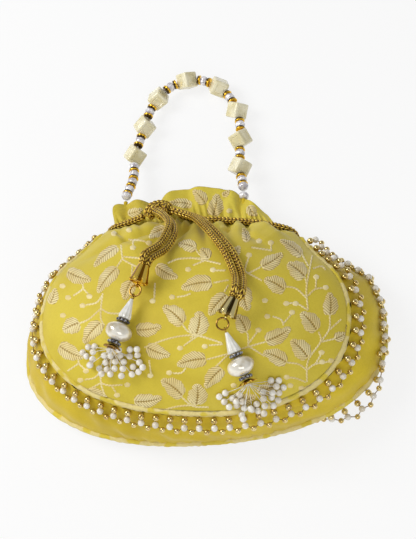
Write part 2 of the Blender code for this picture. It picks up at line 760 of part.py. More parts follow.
def drilled_cube():
    """A chamfered cube with a bore from the middle of one edge to the opposite one."""
    bpy.ops.mesh.primitive_cube_add(size=CUBE)
    cube = bpy.context.object
    edges = cube.modifiers.new("Edges", "BEVEL")
    edges.width = CUBE_CHAMFER
    edges.segments = 1
    bpy.ops.mesh.primitive_cylinder_add(vertices=10, radius=BORE_R, depth=2 * CUBE,
                                        rotation=(math.radians(90), 0, math.radians(45)))
    drill = bpy.context.object
    bore = cube.modifiers.new("Bore", "BOOLEAN")
    bore.object = drill
    graph = bpy.context.evaluated_depsgraph_get()
    mesh = bpy.data.meshes.new_from_object(cube.evaluated_get(graph))
    for obj in (cube, drill):
        bpy.data.objects.remove(obj)
    mesh.name = "drilled_cube"
    mesh.materials.append(material("ivory_cube", IVORY, 0.35))
    return mesh


def handle():
    pieces = strung()
    line = fitted_arch(sum(LENGTHS[piece] for piece in pieces))
    block = drilled_cube()
    points, radii, at, cubes = [], [], 0.0, 0
    step = 0.00005

    def knot(distance, radius):
        points.append(at_length(line, distance))
        radii.append(radius / BEAD_R)

    for piece in pieces:
        length = LENGTHS[piece]
        if piece == "cube":
            knot(at + step, THREAD_R)
            knot(at + length - step, THREAD_R)
            a, b = points[-2], points[-1]
            turn = facing(b - a, (0, 0, 1)) @ Matrix.Rotation(math.radians(CUBE_ROLLS[cubes]), 4, "Z")
            # The bore runs along the cube's own (1, -1, 0).
            lay = Matrix.Rotation(math.radians(-90), 4, "Y") @ Matrix.Rotation(math.radians(45), 4, "Z")
            cubes += 1
            obj = bpy.data.objects.new(f"handle_cube_{cubes}", block)
            PARTS.objects.link(obj)
            obj.matrix_world = Matrix.Translation((a + b) / 2) @ turn @ lay
        elif piece == "spacer":
            knot(at + step, SPACER_R)
            knot(at + length - step, SPACER_R)
        else:
            start, end = at, at + length
            first = piece == "half_bead" and at == 0.0
            last = piece == "half_bead" and not first
            if not first:
                knot(start + step, BEAD_R * 0.6)
            if piece == "bead":
                knot(start + length * 0.5, BEAD_R)
            if not last:
                knot(end - step, BEAD_R * 0.6)
        at += length
    # The bead at each end is round about the pivot, so that it turns in its place.
    turn = [(math.cos(a), math.sin(a)) for a in (math.radians(d) for d in (5, 35, 65, 90))]
    for end, inner in ((0, line[1]), (-1, line[-2])):
        out = (line[end] - inner).normalized()
        more = [(line[end] + out * BEAD_R * c * 0.97, s) for c, s in turn]
        if end == 0:
            points = [p for p, _ in more] + points
            radii = [r for _, r in more] + radii
        else:
            points += [p for p, _ in reversed(more)]
            radii += [r for _, r in reversed(more)]
    tube("handle_strand", points, BEAD_R, (WHITE, 0.3), radii=radii)

    hem = through([(*p, HEM_Z) for p in HEM], 36)
    for word, x in (("left", PIVOT_LEFT), ("right", PIVOT_RIGHT)):
        edge = max(p.y for p in hem if abs(p.x - x) < 2.4 * LOOP_R)
        start, end = edge + 2 * GAP, PIVOT_Y - BEAD_R - GAP
        tube(f"{word}_handle_loop", [Vector((x, start, PIVOT_Z)), Vector((x, end, PIVOT_Z))],
             LOOP_R, (CLOTH, 0.7))


def main():
    body()
    trims()
    frill()
    drawstring()
    for side in (LEFT, RIGHT):
        frame = tassel_frame(side)
        free_ends(side, frame)
        tassel(side, frame)
    handle()


clear_scene()
PARTS = collection("potli_bag")
HELPERS = collection("helpers")
HELPERS.hide_render = True
SHARES = (0.2, 0.4, 0.58, 0.72, 0.83, 0.92, 1.0)
BELLY = belly_tree()
main()
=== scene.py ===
import math

import bpy
import numpy as np
from mathutils import Matrix, Vector
from mathutils.bvhtree import BVHTree


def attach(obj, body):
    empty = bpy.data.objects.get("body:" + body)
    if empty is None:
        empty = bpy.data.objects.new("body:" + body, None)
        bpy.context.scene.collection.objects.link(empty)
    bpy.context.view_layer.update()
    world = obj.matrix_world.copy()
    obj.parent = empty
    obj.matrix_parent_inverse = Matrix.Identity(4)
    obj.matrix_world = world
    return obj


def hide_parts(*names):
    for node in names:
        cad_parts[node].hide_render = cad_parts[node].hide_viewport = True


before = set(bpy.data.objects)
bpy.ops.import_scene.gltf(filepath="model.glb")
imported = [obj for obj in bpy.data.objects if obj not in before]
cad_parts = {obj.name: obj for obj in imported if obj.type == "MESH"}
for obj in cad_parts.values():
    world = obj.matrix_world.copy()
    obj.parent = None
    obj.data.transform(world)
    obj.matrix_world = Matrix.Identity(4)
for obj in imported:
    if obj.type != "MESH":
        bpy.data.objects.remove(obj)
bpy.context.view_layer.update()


# The bag lies on its flat back on a white table, with its mouth away from the viewer, who
# looks down on its front from about arm's length, a little from the right.

ELEVATION, SIDE, DISTANCE = math.radians(62), math.radians(8), 0.8
TARGET = Vector((0.00595, 0.04074, 0.030))
WIDE, TALL = 416, 539   # the picture, in pixels
PIXEL = 0.00062         # what one of them spans at the target, in metres

toward = Vector((math.sin(SIDE), -math.cos(ELEVATION) * math.cos(SIDE),
                 math.sin(ELEVATION) * math.cos(SIDE))).normalized()
eye = TARGET + toward * DISTANCE
upward = (Vector((0, 1, 0)) - toward * toward.y).normalized()
rightward = upward.cross(toward)
view = bpy.data.cameras.new("view")
view.sensor_fit = "VERTICAL"
view.sensor_height = 24
view.lens = view.sensor_height * DISTANCE / PIXEL / TALL
camera = bpy.data.objects.new("camera", view)
turned_to_us = Matrix((rightward, upward, toward)).transposed().to_4x4()
camera.matrix_world = Matrix.Translation(eye) @ turned_to_us
bpy.context.scene.collection.objects.link(camera)
bpy.context.scene.camera = camera
bpy.context.scene.view_settings.view_transform = "Standard"


# Five lengths of one knitted cord: the drawstring round the neck, and two pairs of free ends
# that leave its knot and lie on the belly. Each is gold thread knitted in small V stitches
# over a dark core, and each pair ends in a metal cap. The gaps between stitches are painted
# dark brown, part core and part painted shade, and the stitches' tops carry a painted highlight.

def plain(red, green, blue):
    """A screen colour, 0 to 255, as the light it stands for."""
    return tuple((c / 255 / 12.92 if c < 10 else ((c / 255 + 0.055) / 1.055) ** 2.4)
                 for c in (red, green, blue)) + (1.0,)


class Value:
    """A number or colour that changes over a surface."""

    def __init__(self, nodes, socket):
        self.nodes, self.socket = nodes, socket

    def math(self, operation, *values):
        return self.nodes.add("ShaderNodeMath", {"operation": operation}, *values)

    def __add__(self, other):
        return self.math("ADD", self, other)

    def __sub__(self, other):
        return self.math("SUBTRACT", self, other)

    def __rsub__(self, other):
        return self.math("SUBTRACT", other, self)

    def __mul__(self, other):
        return self.math("MULTIPLY", self, other)

    __radd__, __rmul__ = __add__, __mul__

    def wave(self):
        return self.math("SINE", self)

    def between(self, low, high):
        """0 below low, 1 above high and smooth in between."""
        return self.nodes.add("ShaderNodeMapRange", {"interpolation_type": "SMOOTHSTEP"},
                              self, low, high, 0.0, 1.0)


class Nodes:
    """A tree of shader nodes in the making."""

    def __init__(self, tree):
        self.tree = tree

    def put(self, socket, value):
        if isinstance(value, Value):
            self.tree.links.new(value.socket, socket)
        else:
            socket.default_value = value

    def add(self, kind, settings, *values, out=0, **named):
        node = self.tree.nodes.new(kind)
        for name, setting in settings.items():
            setattr(node, name, setting)
        for socket, value in zip(node.inputs, values):
            self.put(socket, value)
        for name, value in named.items():
            self.put(node.inputs[name.replace("_", " ")], value)
        return Value(self, node.outputs[out])

    def noise(self, scale, detail=2.0, rough=0.5):
        place = self.add("ShaderNodeTexCoord", {}, out="Object")
        return self.add("ShaderNodeTexNoise", {}, Vector=place, Scale=scale, Detail=detail,
                        Roughness=rough)

    def laid(self):
        """The two coordinates of the piece's own layout: round or across it, and along it."""
        across = self.add("ShaderNodeSeparateXYZ", {}, self.add("ShaderNodeUVMap", {}))
        return across, Value(self, across.socket.node.outputs[1])

    def ridge(self):
        """How high each point of a stitched or knitted surface stands, from 0 to 1."""
        return self.add("ShaderNodeAttribute", {"attribute_name": "ridge"}, out=2)

    def mix(self, share, first, second):
        node = self.add("ShaderNodeMix", {"data_type": "RGBA"}, share).socket.node
        self.put(node.inputs[6], first)     # the two colours come after the plain
        self.put(node.inputs[7], second)    # numbers and the vectors of this node
        return Value(self, node.outputs[2])


class Finish(Nodes):
    """A material in the making. What is the same all over is set on the shader by name."""

    def __init__(self, name, **constants):
        self.material = bpy.data.materials.new(name)
        self.material.use_nodes = True
        super().__init__(self.material.node_tree)
        self.shader = self.tree.nodes["Principled BSDF"]
        self.set(**constants)

    def set(self, **values):
        for name, value in values.items():
            self.put(self.shader.inputs[name.replace("_", " ")], value)

    def relief(self, height, depth, strength=1.0):
        self.set(Normal=self.add("ShaderNodeBump", {}, Height=height, Distance=depth,
                                 Strength=strength))


def ease(x):
    x = np.clip(x, 0, 1)
    return x * x * (3 - 2 * x)


def numbers(text):
    """The groups of numbers in a list, such as the three of a point."""
    return [[float(n) for n in item.split(",")] for item in text.split()]


def run_of(line):
    """How far along a line each of its points is."""
    return np.concatenate([[0], np.cumsum(np.linalg.norm(np.diff(line, axis=0), axis=1))])


def line_of(points, step):
    """An evenly spaced smooth line through some points, such as a list of them in millimetres."""
    p = np.array(numbers(points)) / 1000 if isinstance(points, str) else np.array(points, float)
    p = np.vstack([2 * p[0] - p[1], p, 2 * p[-1] - p[-2]])
    t = np.linspace(0, 1, 24, endpoint=False)[:, None]
    bits = [0.5 * (2 * b + (c - a) * t + (2 * a - 5 * b + 4 * c - d) * t * t
                   + (3 * b - a - 3 * c + d) * t ** 3)
            for a, b, c, d in zip(p, p[1:], p[2:], p[3:])]
    fine = np.vstack([*bits, p[-2:-1]])
    run = run_of(fine)
    at = np.linspace(0, run[-1], max(2, round(run[-1] / step)) + 1)
    return np.stack([np.interp(at, run, fine[:, k]) for k in range(fine.shape[1])], 1)


def unit(v):
    return v / np.linalg.norm(v, axis=-1, keepdims=True)


def round_line(line):
    """The two directions across a line at each of its points, turning as little as they can."""
    way = unit(np.gradient(line, axis=0))
    side = np.cross(way, (0.0, 0.0, 1.0))
    side[0] = unit(side[0]) if np.linalg.norm(side[0]) > 0.1 else (1.0, 0.0, 0.0)
    for k in range(1, len(line)):
        side[k] = unit(side[k - 1] - way[k] * (side[k - 1] @ way[k]))
    return side, np.cross(side, way)


def about(centre, side, over, r, a):
    """Points at a distance r from the centre, at the angle a from side towards over."""
    return centre + side * (r * np.cos(a))[:, None] + over * (r * np.sin(a))[:, None]


def woven(name, across, down, form, finish, body, join=True, ridge=None):
    """A grid laid into a form, which turns (u, v), each from 0 to 1, into points. Where its
    edges meet they are joined."""
    bpy.ops.object.select_all(action="DESELECT")
    bpy.ops.mesh.primitive_grid_add(x_subdivisions=across, y_subdivisions=down, size=1)
    piece = bpy.context.object
    piece.name = piece.data.name = name
    flat = np.empty(len(piece.data.vertices) * 3)
    piece.data.vertices.foreach_get("co", flat)
    u, v = flat.reshape(-1, 3)[:, 0] + 0.5, flat.reshape(-1, 3)[:, 1] + 0.5
    piece.data.vertices.foreach_set("co", np.asarray(form(u, v), float).ravel())
    if ridge is not None:
        piece.data.attributes.new("ridge", "FLOAT", "POINT").data.foreach_set("value", ridge(u, v))
    piece.data.update()
    if join:
        bpy.ops.object.mode_set(mode="EDIT")
        bpy.ops.mesh.select_all(action="SELECT")
        bpy.ops.mesh.remove_doubles(threshold=0.000001)
        bpy.ops.mesh.normals_make_consistent(inside=False)
        bpy.ops.object.mode_set(mode="OBJECT")
    bpy.ops.object.shade_smooth()
    piece.data.materials.append(finish.material)
    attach(piece, body)
    return piece


cord_gold = Finish("knitted_gold_cord", Metallic=0.55, Roughness=0.42)
cord_high = cord_gold.ridge()
cord_tone = cord_gold.mix(cord_gold.noise(260, 1).between(0.35, 0.65), plain(206, 166, 46),
                          plain(232, 198, 78))
# Where the stitches lie low the colour turns dark brown: part the dark core, part painted shade in the gaps.
cord_tone = cord_gold.mix(cord_high.between(0.20, 0.56), plain(84, 52, 14), cord_tone)
# The stitches' tops are painted a pale gold highlight.
cord_tone = cord_gold.mix(cord_high.between(0.75, 1.0) * 0.6, cord_tone, plain(240, 218, 128))
cord_gold.set(Base_Color=cord_tone)
cord_gold.relief(cord_gold.noise(3200, 1), 0.0001, 0.35)

STRAND_R, GAP = 0.0023, 0.0003      # the cord's radius, and the room between two pieces
KNIT = 0.00024                      # the length of a row of the cord's mesh
PULLED = 0.018                      # how far from the knot its stitches are pulled long


def knitted(name, points, radius, clamped=0.0, wales=4, pitch=0.0024):
    """A knitted cord along some points: its piece and its centreline. The clamped length at
    its end is squeezed thinner, and its stitches are stretched where it is pulled at the knot."""
    line = line_of(points, KNIT)
    side, over = round_line(line)
    last = len(line) - 1

    def stitch(u, v):
        run = v * last * KNIT
        run = run - 0.4 * PULLED * (1 - np.exp(-run / PULLED)) if clamped else run
        lean = abs((u * wales) % 1 - 0.5) * 2
        leg = np.clip(np.sin(np.pi * lean), 0, 1) ** 0.7
        return leg * (0.10 + 0.90 * (0.5 + 0.5 * np.cos(2 * np.pi * (run / pitch - lean * 0.75))) ** 0.8)

    def form(u, v):
        k = np.rint(v * last).astype(int)
        closing = np.sqrt(np.clip(np.minimum(k, last - k) / 5, 0, 1))
        left = (last - k) * KNIT
        squeeze = 1 - 0.32 * ease((clamped - left) / 0.004) if clamped else 1.0
        r = radius * (0.76 + 0.30 * stitch(u, v)) * closing * squeeze
        return about(line[k], side[k], over[k], r, 2 * np.pi * u)

    piece = woven(name, 48, last, form, cord_gold, "bag", ridge=stitch)
    return piece, line


# The lines that the lengths follow, in millimetres.
NECK_RUN = """-13.4,82,30 -1.2,78.9,26.8 12,77.5,26.5 26.4,75.1,26.5 41.5,71.7,26.8
55.9,67.8,24.6 60,66.6,18 55.9,67.8,11.4 42.2,71.5,9.1 28.5,74.7,9.5 14.3,77.2,9.5 0,79,9.5
-14.3,80.1,9.5 -28.4,80.4,9.5 -42.2,79.9,9.1 -55.9,79,11.4 -60,78.5,18 -55.9,78.9,24.4
-41.8,80.7,29 -34.6,82,31.5"""
FREE_ENDS = {
    "left_cord_a": """-21.6,76.7,38.9 -12.9,63.4,51.7 -9.4,48.7,63.4 -13.2,35,70.7
-19.5,23.1,82.2 -21.4,18.5,82 -23.6,14.9,82.1""",
    "left_cord_b": """-26.2,80,40.5 -17.6,68.3,52.4 -12.7,54.6,63.9 -16,37.7,73.6 -22.2,25,85.2
-23.8,20,84.6 -24.7,15.5,83.2""",
    "right_cord_a": """-12.1,81,35.1 1,71.8,41.2 8.6,60.8,52 17.2,46.7,62.4 26.6,30.3,70
32.7,13.4,73.3 34.2,-3.2,83.8 31.8,-7.2,83 28.8,-10.6,82.6""",
    "right_cord_b": """-15.6,80.3,38.7 -2,70.8,44.9 5.5,59.6,55.5 13.8,45.3,65.6 22.7,28.7,72.5
28.4,12.9,75.5 30.4,-1,85.7 28.5,-5.7,84.6 27.3,-9.9,83.3"""}

drawstring, _ = knitted("drawstring_cord", NECK_RUN, STRAND_R)
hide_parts("drawstring")
free_ends = {}
for name, points in FREE_ENDS.items():
    free_ends[name] = knitted(name + "_knit", points, STRAND_R, clamped=0.006)
    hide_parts(name)


# The knot: the cord goes over and round itself in three bulky turns over a thick core, pulled
# snug. Its turns are given as shares of half its size, from its middle.

KNOT = np.array((-0.0240, 0.0830, 0.0335))
KNOT_HALF = np.array((0.0100, 0.0075, 0.0060))
SNUG = (0.84, 0.80, 0.66)
CORE = "-.7,.3,-.4 -.2,.1,.2 .3,-.1,.1 .7,-.3,-.4"
TURNS = ["-1,-.45,-.2 -.98,.1,.25 -.62,.62,.5 0,.78,.62 .55,.55,.6 .85,0,.4 .8,-.55,0",
         "-.62,-.75,-.3 -.72,-.3,.5 -.42,.12,.95 0,0,1 .12,-.4,.7 0,-.6,.2 0,-.45,-.5",
         ".3,.72,.1 .42,.4,.8 .45,-.05,1.05 .36,-.5,.85 .25,-.95,.2",
         CORE]
knot = [knitted(f"knot_turn_{number}", [KNOT + KNOT_HALF * np.array(p) * SNUG for p in numbers(turn)],
                STRAND_R * (1.25 if turn is CORE else 1.0))[0] for number, turn in enumerate(TURNS, 1)]
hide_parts("drawstring_knot")


# The pouch is two cloth panels, a domed front and a flat back, joined by a plain gusset. The
# front is gathered into the drawstring, where it falls into folds. It is a fine yellow silk
# blend, embroidered in front and plain elsewhere.

NECK = 0.060                                    # half the width of the neck
BELLY = np.array((-0.002, -0.006, 0.075))       # the top of the dome
EDGE_GAP = 0.0006                               # between the dome's edge and its seam
RISE = math.radians(32)                         # how much of the seam's turn rises to the neck


def neck_y(x):
    return 0.079 - 0.10 * x - 1.8 * x * x


class Seam:
    """A sewn edge: an egg-shaped outline that rises into the neck at its two ends."""

    def __init__(self, x, y, wide, low, high, power, turn, seam_z, neck_z):
        self.x, self.y, self.wide, self.low, self.high = x, y, wide, low, high
        self.power, self.turn, self.seam_z, self.neck_z = power, math.radians(turn), seam_z, neck_z

    def at(self, u):
        """Points of the seam, from the neck's left end, round the bottom, to its right end."""
        ends = []
        for x in (-NECK, NECK):
            dx, dy = x - self.x, neck_y(x) - STRAND_R - GAP - self.y
            ends.append((math.hypot(dx, dy), math.atan2(dy, dx)))
        (left_r, left), (right_r, right) = ends
        right += 2 * math.pi
        angle = left + (right - left) * u
        from_left, from_right = ease((angle - left) / RISE), ease((right - angle) / RISE)
        c, s = np.cos(angle - self.turn), np.sin(angle - self.turn)
        half = np.where(s > 0, self.high, self.low)
        full = (abs(c / self.wide) ** self.power + abs(s / half) ** self.power) ** (-1 / self.power)
        share = np.minimum(from_left, from_right)
        near = np.where(from_left < from_right, left_r, right_r)
        radius = near + (full - near) * share
        z = self.neck_z + (self.seam_z - self.neck_z) * share
        return np.stack([self.x + radius * np.cos(angle), self.y + radius * np.sin(angle), z], -1)

    def rim(self, t):
        """The whole edge: t from 0 to 1 is the seam, and from 1 to 2 the gathered mouth."""
        x = NECK - 2 * NECK * (np.maximum(t, 1) - 1)
        mouth = np.stack([x, neck_y(x) - STRAND_R - GAP, np.full_like(x, self.neck_z)], -1)
        return np.where((t <= 1)[:, None], self.at(np.minimum(t, 1)), mouth)

    def even(self, shares):
        """The values of u at equal lengths of the seam, for shares of its length."""
        u = np.linspace(0, 1, 2000)
        run = run_of(self.at(u))
        return np.interp(shares, run / run[-1], u)

    def out(self, u):
        """The level direction away from the bag at points of the seam."""
        along = self.at(u + 0.002) - self.at(u - 0.002)
        out = unit(np.cross(along, (0.0, 0.0, 1.0)))
        here = self.at(u)
        return out * np.sign((out[:, :2] * here[:, :2]).sum(1))[:, None]


FRONT = Seam(-0.0017, 0.0021, 0.0928, 0.0601, 0.0646, 2.25, -7.6, 0.042, 0.026)
BACK = Seam(0.0, 0.0, 0.1115, 0.0645, 0.0838, 2.22, 0.3, 0.0090, 0.010)


def dome(u, v):
    """The front without its folds: u round its edge from the neck's left end, v outwards."""
    edge = FRONT.rim(u * 2)
    rho = (v ** 0.8)[:, None] * (1 - EDGE_GAP / np.linalg.norm(edge - BELLY, axis=1)[:, None])
    place = BELLY + rho * (edge - BELLY)
    height = (BELLY[2] - edge[:, 2:]) * (1 - rho ** 2.3) ** 0.80
    place[:, 2] = (edge[:, 2:] + height + 0.0011 * rho ** 8)[:, 0]
    return place, rho[:, 0]


def sight(px, py):
    """The way from the eye through a point of the picture, in pixels."""
    across = rightward * (px - WIDE / 2) - upward * (py - TALL / 2)
    return (across - toward * DISTANCE / PIXEL).normalized()


def squares(k):
    """The faces of a grid of points, from its rows of their numbers."""
    return np.stack([k[:-1, :-1], k[:-1, 1:], k[1:, 1:], k[1:, :-1]], -1).reshape(-1, 4)


v_at, u_at = np.meshgrid(np.linspace(0, 1, 40), np.linspace(0, 1, 160), indexing="ij")
plain_dome = BVHTree.FromPolygons(dome(u_at.ravel(), v_at.ravel())[0].tolist(),
                                  squares(np.arange(u_at.size).reshape(u_at.shape)).tolist())

# The folds below the drawstring, as lines seen in the picture: from and to in pixels, and the
# depth and the width at each end in millimetres. A negative depth is a roll. An end that lies
# beside the panel is taken at the height of the drawstring.
DRAWN_Z = 0.034
FOLDS = [(150, 230, 62, 272, 5.0, 3.6, 4.6), (154, 239, 74, 279, -2.2, 4.0, 6.0),
         (120, 231, 138, 245, 2.6, 3.0, 4.0), (184, 226, 158, 262, 4.6, 3.2, 3.0),
         (204, 228, 208, 258, 2.8, 2.6, 4.5), (229, 222, 226, 250, 5.2, 2.6, 3.6),
         (239, 224, 243, 262, -1.6, 4.0, 6.0), (245, 219, 251, 240, 4.6, 2.4, 3.0),
         (248, 234, 278, 254, 2.6, 3.2, 5.0), (262, 224, 296, 252, -3.0, 4.6, 7.0),
         (270, 222, 302, 246, 3.6, 2.2, 4.0), (216, 226, 220, 246, 2.4, 1.8, 3.0),
         (168, 230, 140, 262, 2.0, 2.6, 4.5), (100, 238, 70, 256, -1.2, 3.0, 4.0)]


def crease(place, x0, y0, x1, y1, depth, start, end):
    """How far one fold sinks the cloth at each place."""
    ends = []
    for px, py in ((x0, y0), (x1, y1)):
        way = sight(px, py)
        spot = plain_dome.ray_cast(eye, way)[0] or eye + way * (eye.z - DRAWN_Z) / -way.z
        ends.append(np.array(spot[:2]))
    run = ends[1] - ends[0]
    length = np.hypot(*run)
    run /= length
    off = place[:, :2] - ends[0]
    along = off @ run / length
    aside = abs(off @ np.array([-run[1], run[0]]))
    width = (start + (end - start) * np.clip(along, 0, 1)) / 1000
    return depth / 1000 * ease((along + 0.3) / 0.3) * (1 - ease(along)) * np.exp(-(aside / width) ** 1.7)


def belly(u, v):
    """The front as it lies: the dome with its folds, its soft dents and the gathers of its mouth."""
    place, rho = dome(u, v)
    drop = sum(crease(place, *fold) for fold in FOLDS)
    x, y = place[:, 0], place[:, 1]
    soft = (np.sin(61 * x + 23 * y + 1) * np.sin(44 * y - 31 * x)
            + 0.6 * np.sin(97 * x - 52 * y + 2) * np.sin(83 * y + 11 * x)) * 0.0007
    w = np.clip(2 * u - 1, 0, 1)
    near = ease((rho - 0.74) / 0.26) * np.sin(np.pi * w) * (u > 0.5)
    gathers = near * 0.0011 * (np.sin(w * 88 + 2.2 * np.sin(w * 21)) + 0.5 * np.sin(w * 47 + 1))
    sink = (drop + soft) * np.clip(2.2 - 1.7 * rho ** 14, 0.5, 1) + gathers
    tilt = 0.75 * ease((y - 0.035) / 0.03)
    place[:, 2] -= sink * (1 - 0.25 * tilt)
    place[:, 1] -= sink * tilt
    return place


def silk(name, base, deep, bright, stitched=None):
    """Fine woven silk blend: even threads, soft blotches of tone and a faint sheen. What is
    stitched on it shows as patches of a paler thread."""
    finish = Finish(name, Roughness=0.6, Sheen_Weight=0.2, Sheen_Roughness=0.4,
                    Specular_IOR_Level=0.3)
    tone = finish.mix(finish.noise(28, 3).between(0.4, 0.75) * 0.6, base, deep)
    tone = finish.mix(finish.noise(15, 2).between(0.48, 0.72) * 0.7, tone, bright)
    if stitched:
        tone = finish.mix(finish.noise(110, 1).between(0.44, 0.52) * 0.8, tone, stitched)
    threads = finish.noise(900, 2, 0.6)
    finish.set(Base_Color=finish.mix(threads.between(0.35, 0.75) * 0.18, tone, deep))
    finish.relief(threads * 0.5 + finish.noise(2600, 1) * 0.5, 0.0002, 0.35)
    return finish


front_silk = silk("front_silk", plain(217, 196, 62), plain(188, 163, 40), plain(234, 216, 86))
side_silk = silk("side_silk", plain(214, 186, 34), plain(182, 152, 22), plain(232, 206, 48))
front = woven("front_panel_cloth", 420, 120, belly, front_silk, "bag")
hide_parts("front_panel", "lining_pouch")


def gusset(u, v):
    """The side, from the front's seam to the back's: full in the middle, puckered at both."""
    t = 0.004 + 0.992 * u
    high, low = FRONT.at(t), BACK.at(t)
    way = unit(low * (1, 1, 0))
    v = (0.06 + 0.88 * v)[:, None]
    t = t[:, None]
    puff = 0.004 * np.sin(np.pi * v) * np.clip(np.minimum(t, 1 - t) * 10, 0, 1)
    pucker = 0.0007 * np.sin(t * 260 + 3 * np.sin(t * 31)) * (abs(v - 0.5) * 2) ** 3
    rumple = 0.0011 * np.sin(t * 47 + 4 * v) * np.sin(t * 113 - 6 * v) * np.sin(np.pi * v)
    gathered = 0.0016 * np.sin(t * 520) * (ease((t - 0.93) / 0.06) + ease((0.07 - t) / 0.06))
    return high + (low - high) * v + way * (puff + pucker + rumple + gathered)


side = woven("gusset_cloth", 620, 24, gusset, side_silk, "bag", join=False)
bpy.ops.object.mode_set(mode="EDIT")
bpy.ops.mesh.select_all(action="SELECT")
bpy.ops.mesh.flip_normals()
bpy.ops.object.mode_set(mode="OBJECT")
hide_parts("gusset")


def back_form(u, v):
    """The back: flat where it lies on the table, and rising to its seam."""
    edge = BACK.rim(u * 2)
    rho = (v ** 0.8)[:, None] * (1 - 0.0026 / np.linalg.norm(edge, axis=1)[:, None])
    place = edge * rho
    rise = np.maximum(0, (rho - 0.74) / 0.26) ** 2
    x, y = place[:, :1], place[:, 1:2]
    wave = 0.00045 * (1 + np.sin(x * 90 + 40 * y) * np.sin(y * 110))
    place[:, 2] = (rise * edge[:, 2:] + wave * rho ** 2 + 0.00005)[:, 0]
    return place


back = woven("back_panel_cloth", 360, 60, back_form, side_silk, "bag")
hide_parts("back_panel")


# Both panels end in piping: embroidered cloth folded over a thin cord and sewn into the seam.
# Bits of the pattern show on it, and it puckers at its stitches.

PIPING_R, PIPING_ROWS = 0.0020, 899
piping_silk = silk("piping_silk", plain(222, 200, 66), plain(186, 160, 44), plain(238, 220, 92),
                   stitched=plain(232, 216, 156))
for seam, word in ((FRONT, "front"), (BACK, "back")):
    piping_line = seam.at(np.linspace(0.006, 0.990, PIPING_ROWS + 1))
    side_way, over_way = round_line(piping_line)

    def piping(u, v):
        k = np.rint(v * PIPING_ROWS).astype(int)
        a = 2 * np.pi * u
        pucker = (1 + 0.10 * np.sin(v * 420 + 2 * a + 2 * np.sin(v * 37)) * (0.6 + 0.4 * np.sin(v * 91))
                  + 0.06 * np.sin(v * 150 + 3 * np.sin(v * 13)))
        r = PIPING_R * pucker * np.sqrt(np.clip(np.minimum(k, PIPING_ROWS - k) / 6, 0, 1))
        return about(piping_line[k], side_way[k], over_way[k], r, a)

    welt = woven(f"{word}_piping_cloth", 16, PIPING_ROWS, piping, piping_silk, "bag")
    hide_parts(f"{word}_piping")


# The front's embroidery: a vine of ovate leaves in raised cream satin stitch, with round buds
# on fine stem-stitch tendrils. Each is sewn onto the cloth and follows its folds. Places are
# points of the picture, in pixels, followed from the eye to the cloth: a leaf's stalk end, tip
# and width, a bud's middle, and the points along a stem.

LEAVES = """67.1,271.7,91.5,280.3,14 117.6,247.1,93.5,267.1,10.5 117,267.7,97.5,293,14
131.5,281,124.5,300,14 156,266,178,278,13 212,282,181,288.4,16 183.6,323.4,162.9,306.2,17
196.2,334.9,200,311,19 136,330,161.8,326.3,14 146.5,347,170.4,355.5,14 206,358.5,176.7,365.3,16
183,395.7,161.2,379.6,17 196.2,405,197.4,383.7,19 134,401.5,162.3,397.4,14 79.7,322.8,63,331,16
101,322.2,83.7,343.5,15 59,345.5,83.7,357.8,15 50.5,304,55.5,288,10 226.6,294.6,208.9,315.3,15
243,287,248,311,16 246.6,331.8,236.6,314.7,15 261.4,266.9,282.6,253.3,14 301.5,255.7,279.7,239.7,11
305,276.9,287.3,263.3,17 285,290,264,279,16 329.8,315.3,329.2,292.2,14.5 316.8,330.6,300.9,312.3,17
265.5,341.2,290.9,327.6,15 308,357.7,290.9,340,17 286.7,362.4,263,352,15 222,368.3,205,388,15
334.5,339,345,333,10 231,256,240,246,9 209,259,200.6,248.6,12 196.5,248,178,244,12
247,242,243,228,8 166,228,149,238,11 90,390,108,399,11 232,402,256,396,13 120,352,104,366,13
258,392,278,383,12"""
FRILL_LEAVES = """192,205,168,203,9 205.5,203.5,193,190,12 213,216,217,193.5,14.5 222.5,196,229.5,190.5,6
248,206,257,216,10 128,214,143,209,9"""
BUDS = """62.5,286 68.2,297.6 89.4,296.4 82.6,305.6 63,315.4 133,247.6 149,243 188.2,269.4
172.1,297 152.6,301 180.1,348.1 204.8,346.4 169.2,372.8 150.3,375.6 127.3,384.8 117,395.1
80.3,380.2 86,371 213,269.8 249,255.1 270.8,242.7 259,241 316.2,277 325.7,287.5 264.9,300.5
286.2,303.5 295.6,303.5 267.3,316.4 292,312.3 258.4,330 321.5,352.4 322.1,361.9 331,360.7
286.7,377.2 290.3,385.5 301.5,388.4 233.7,385.5 114,233.5 129,230"""
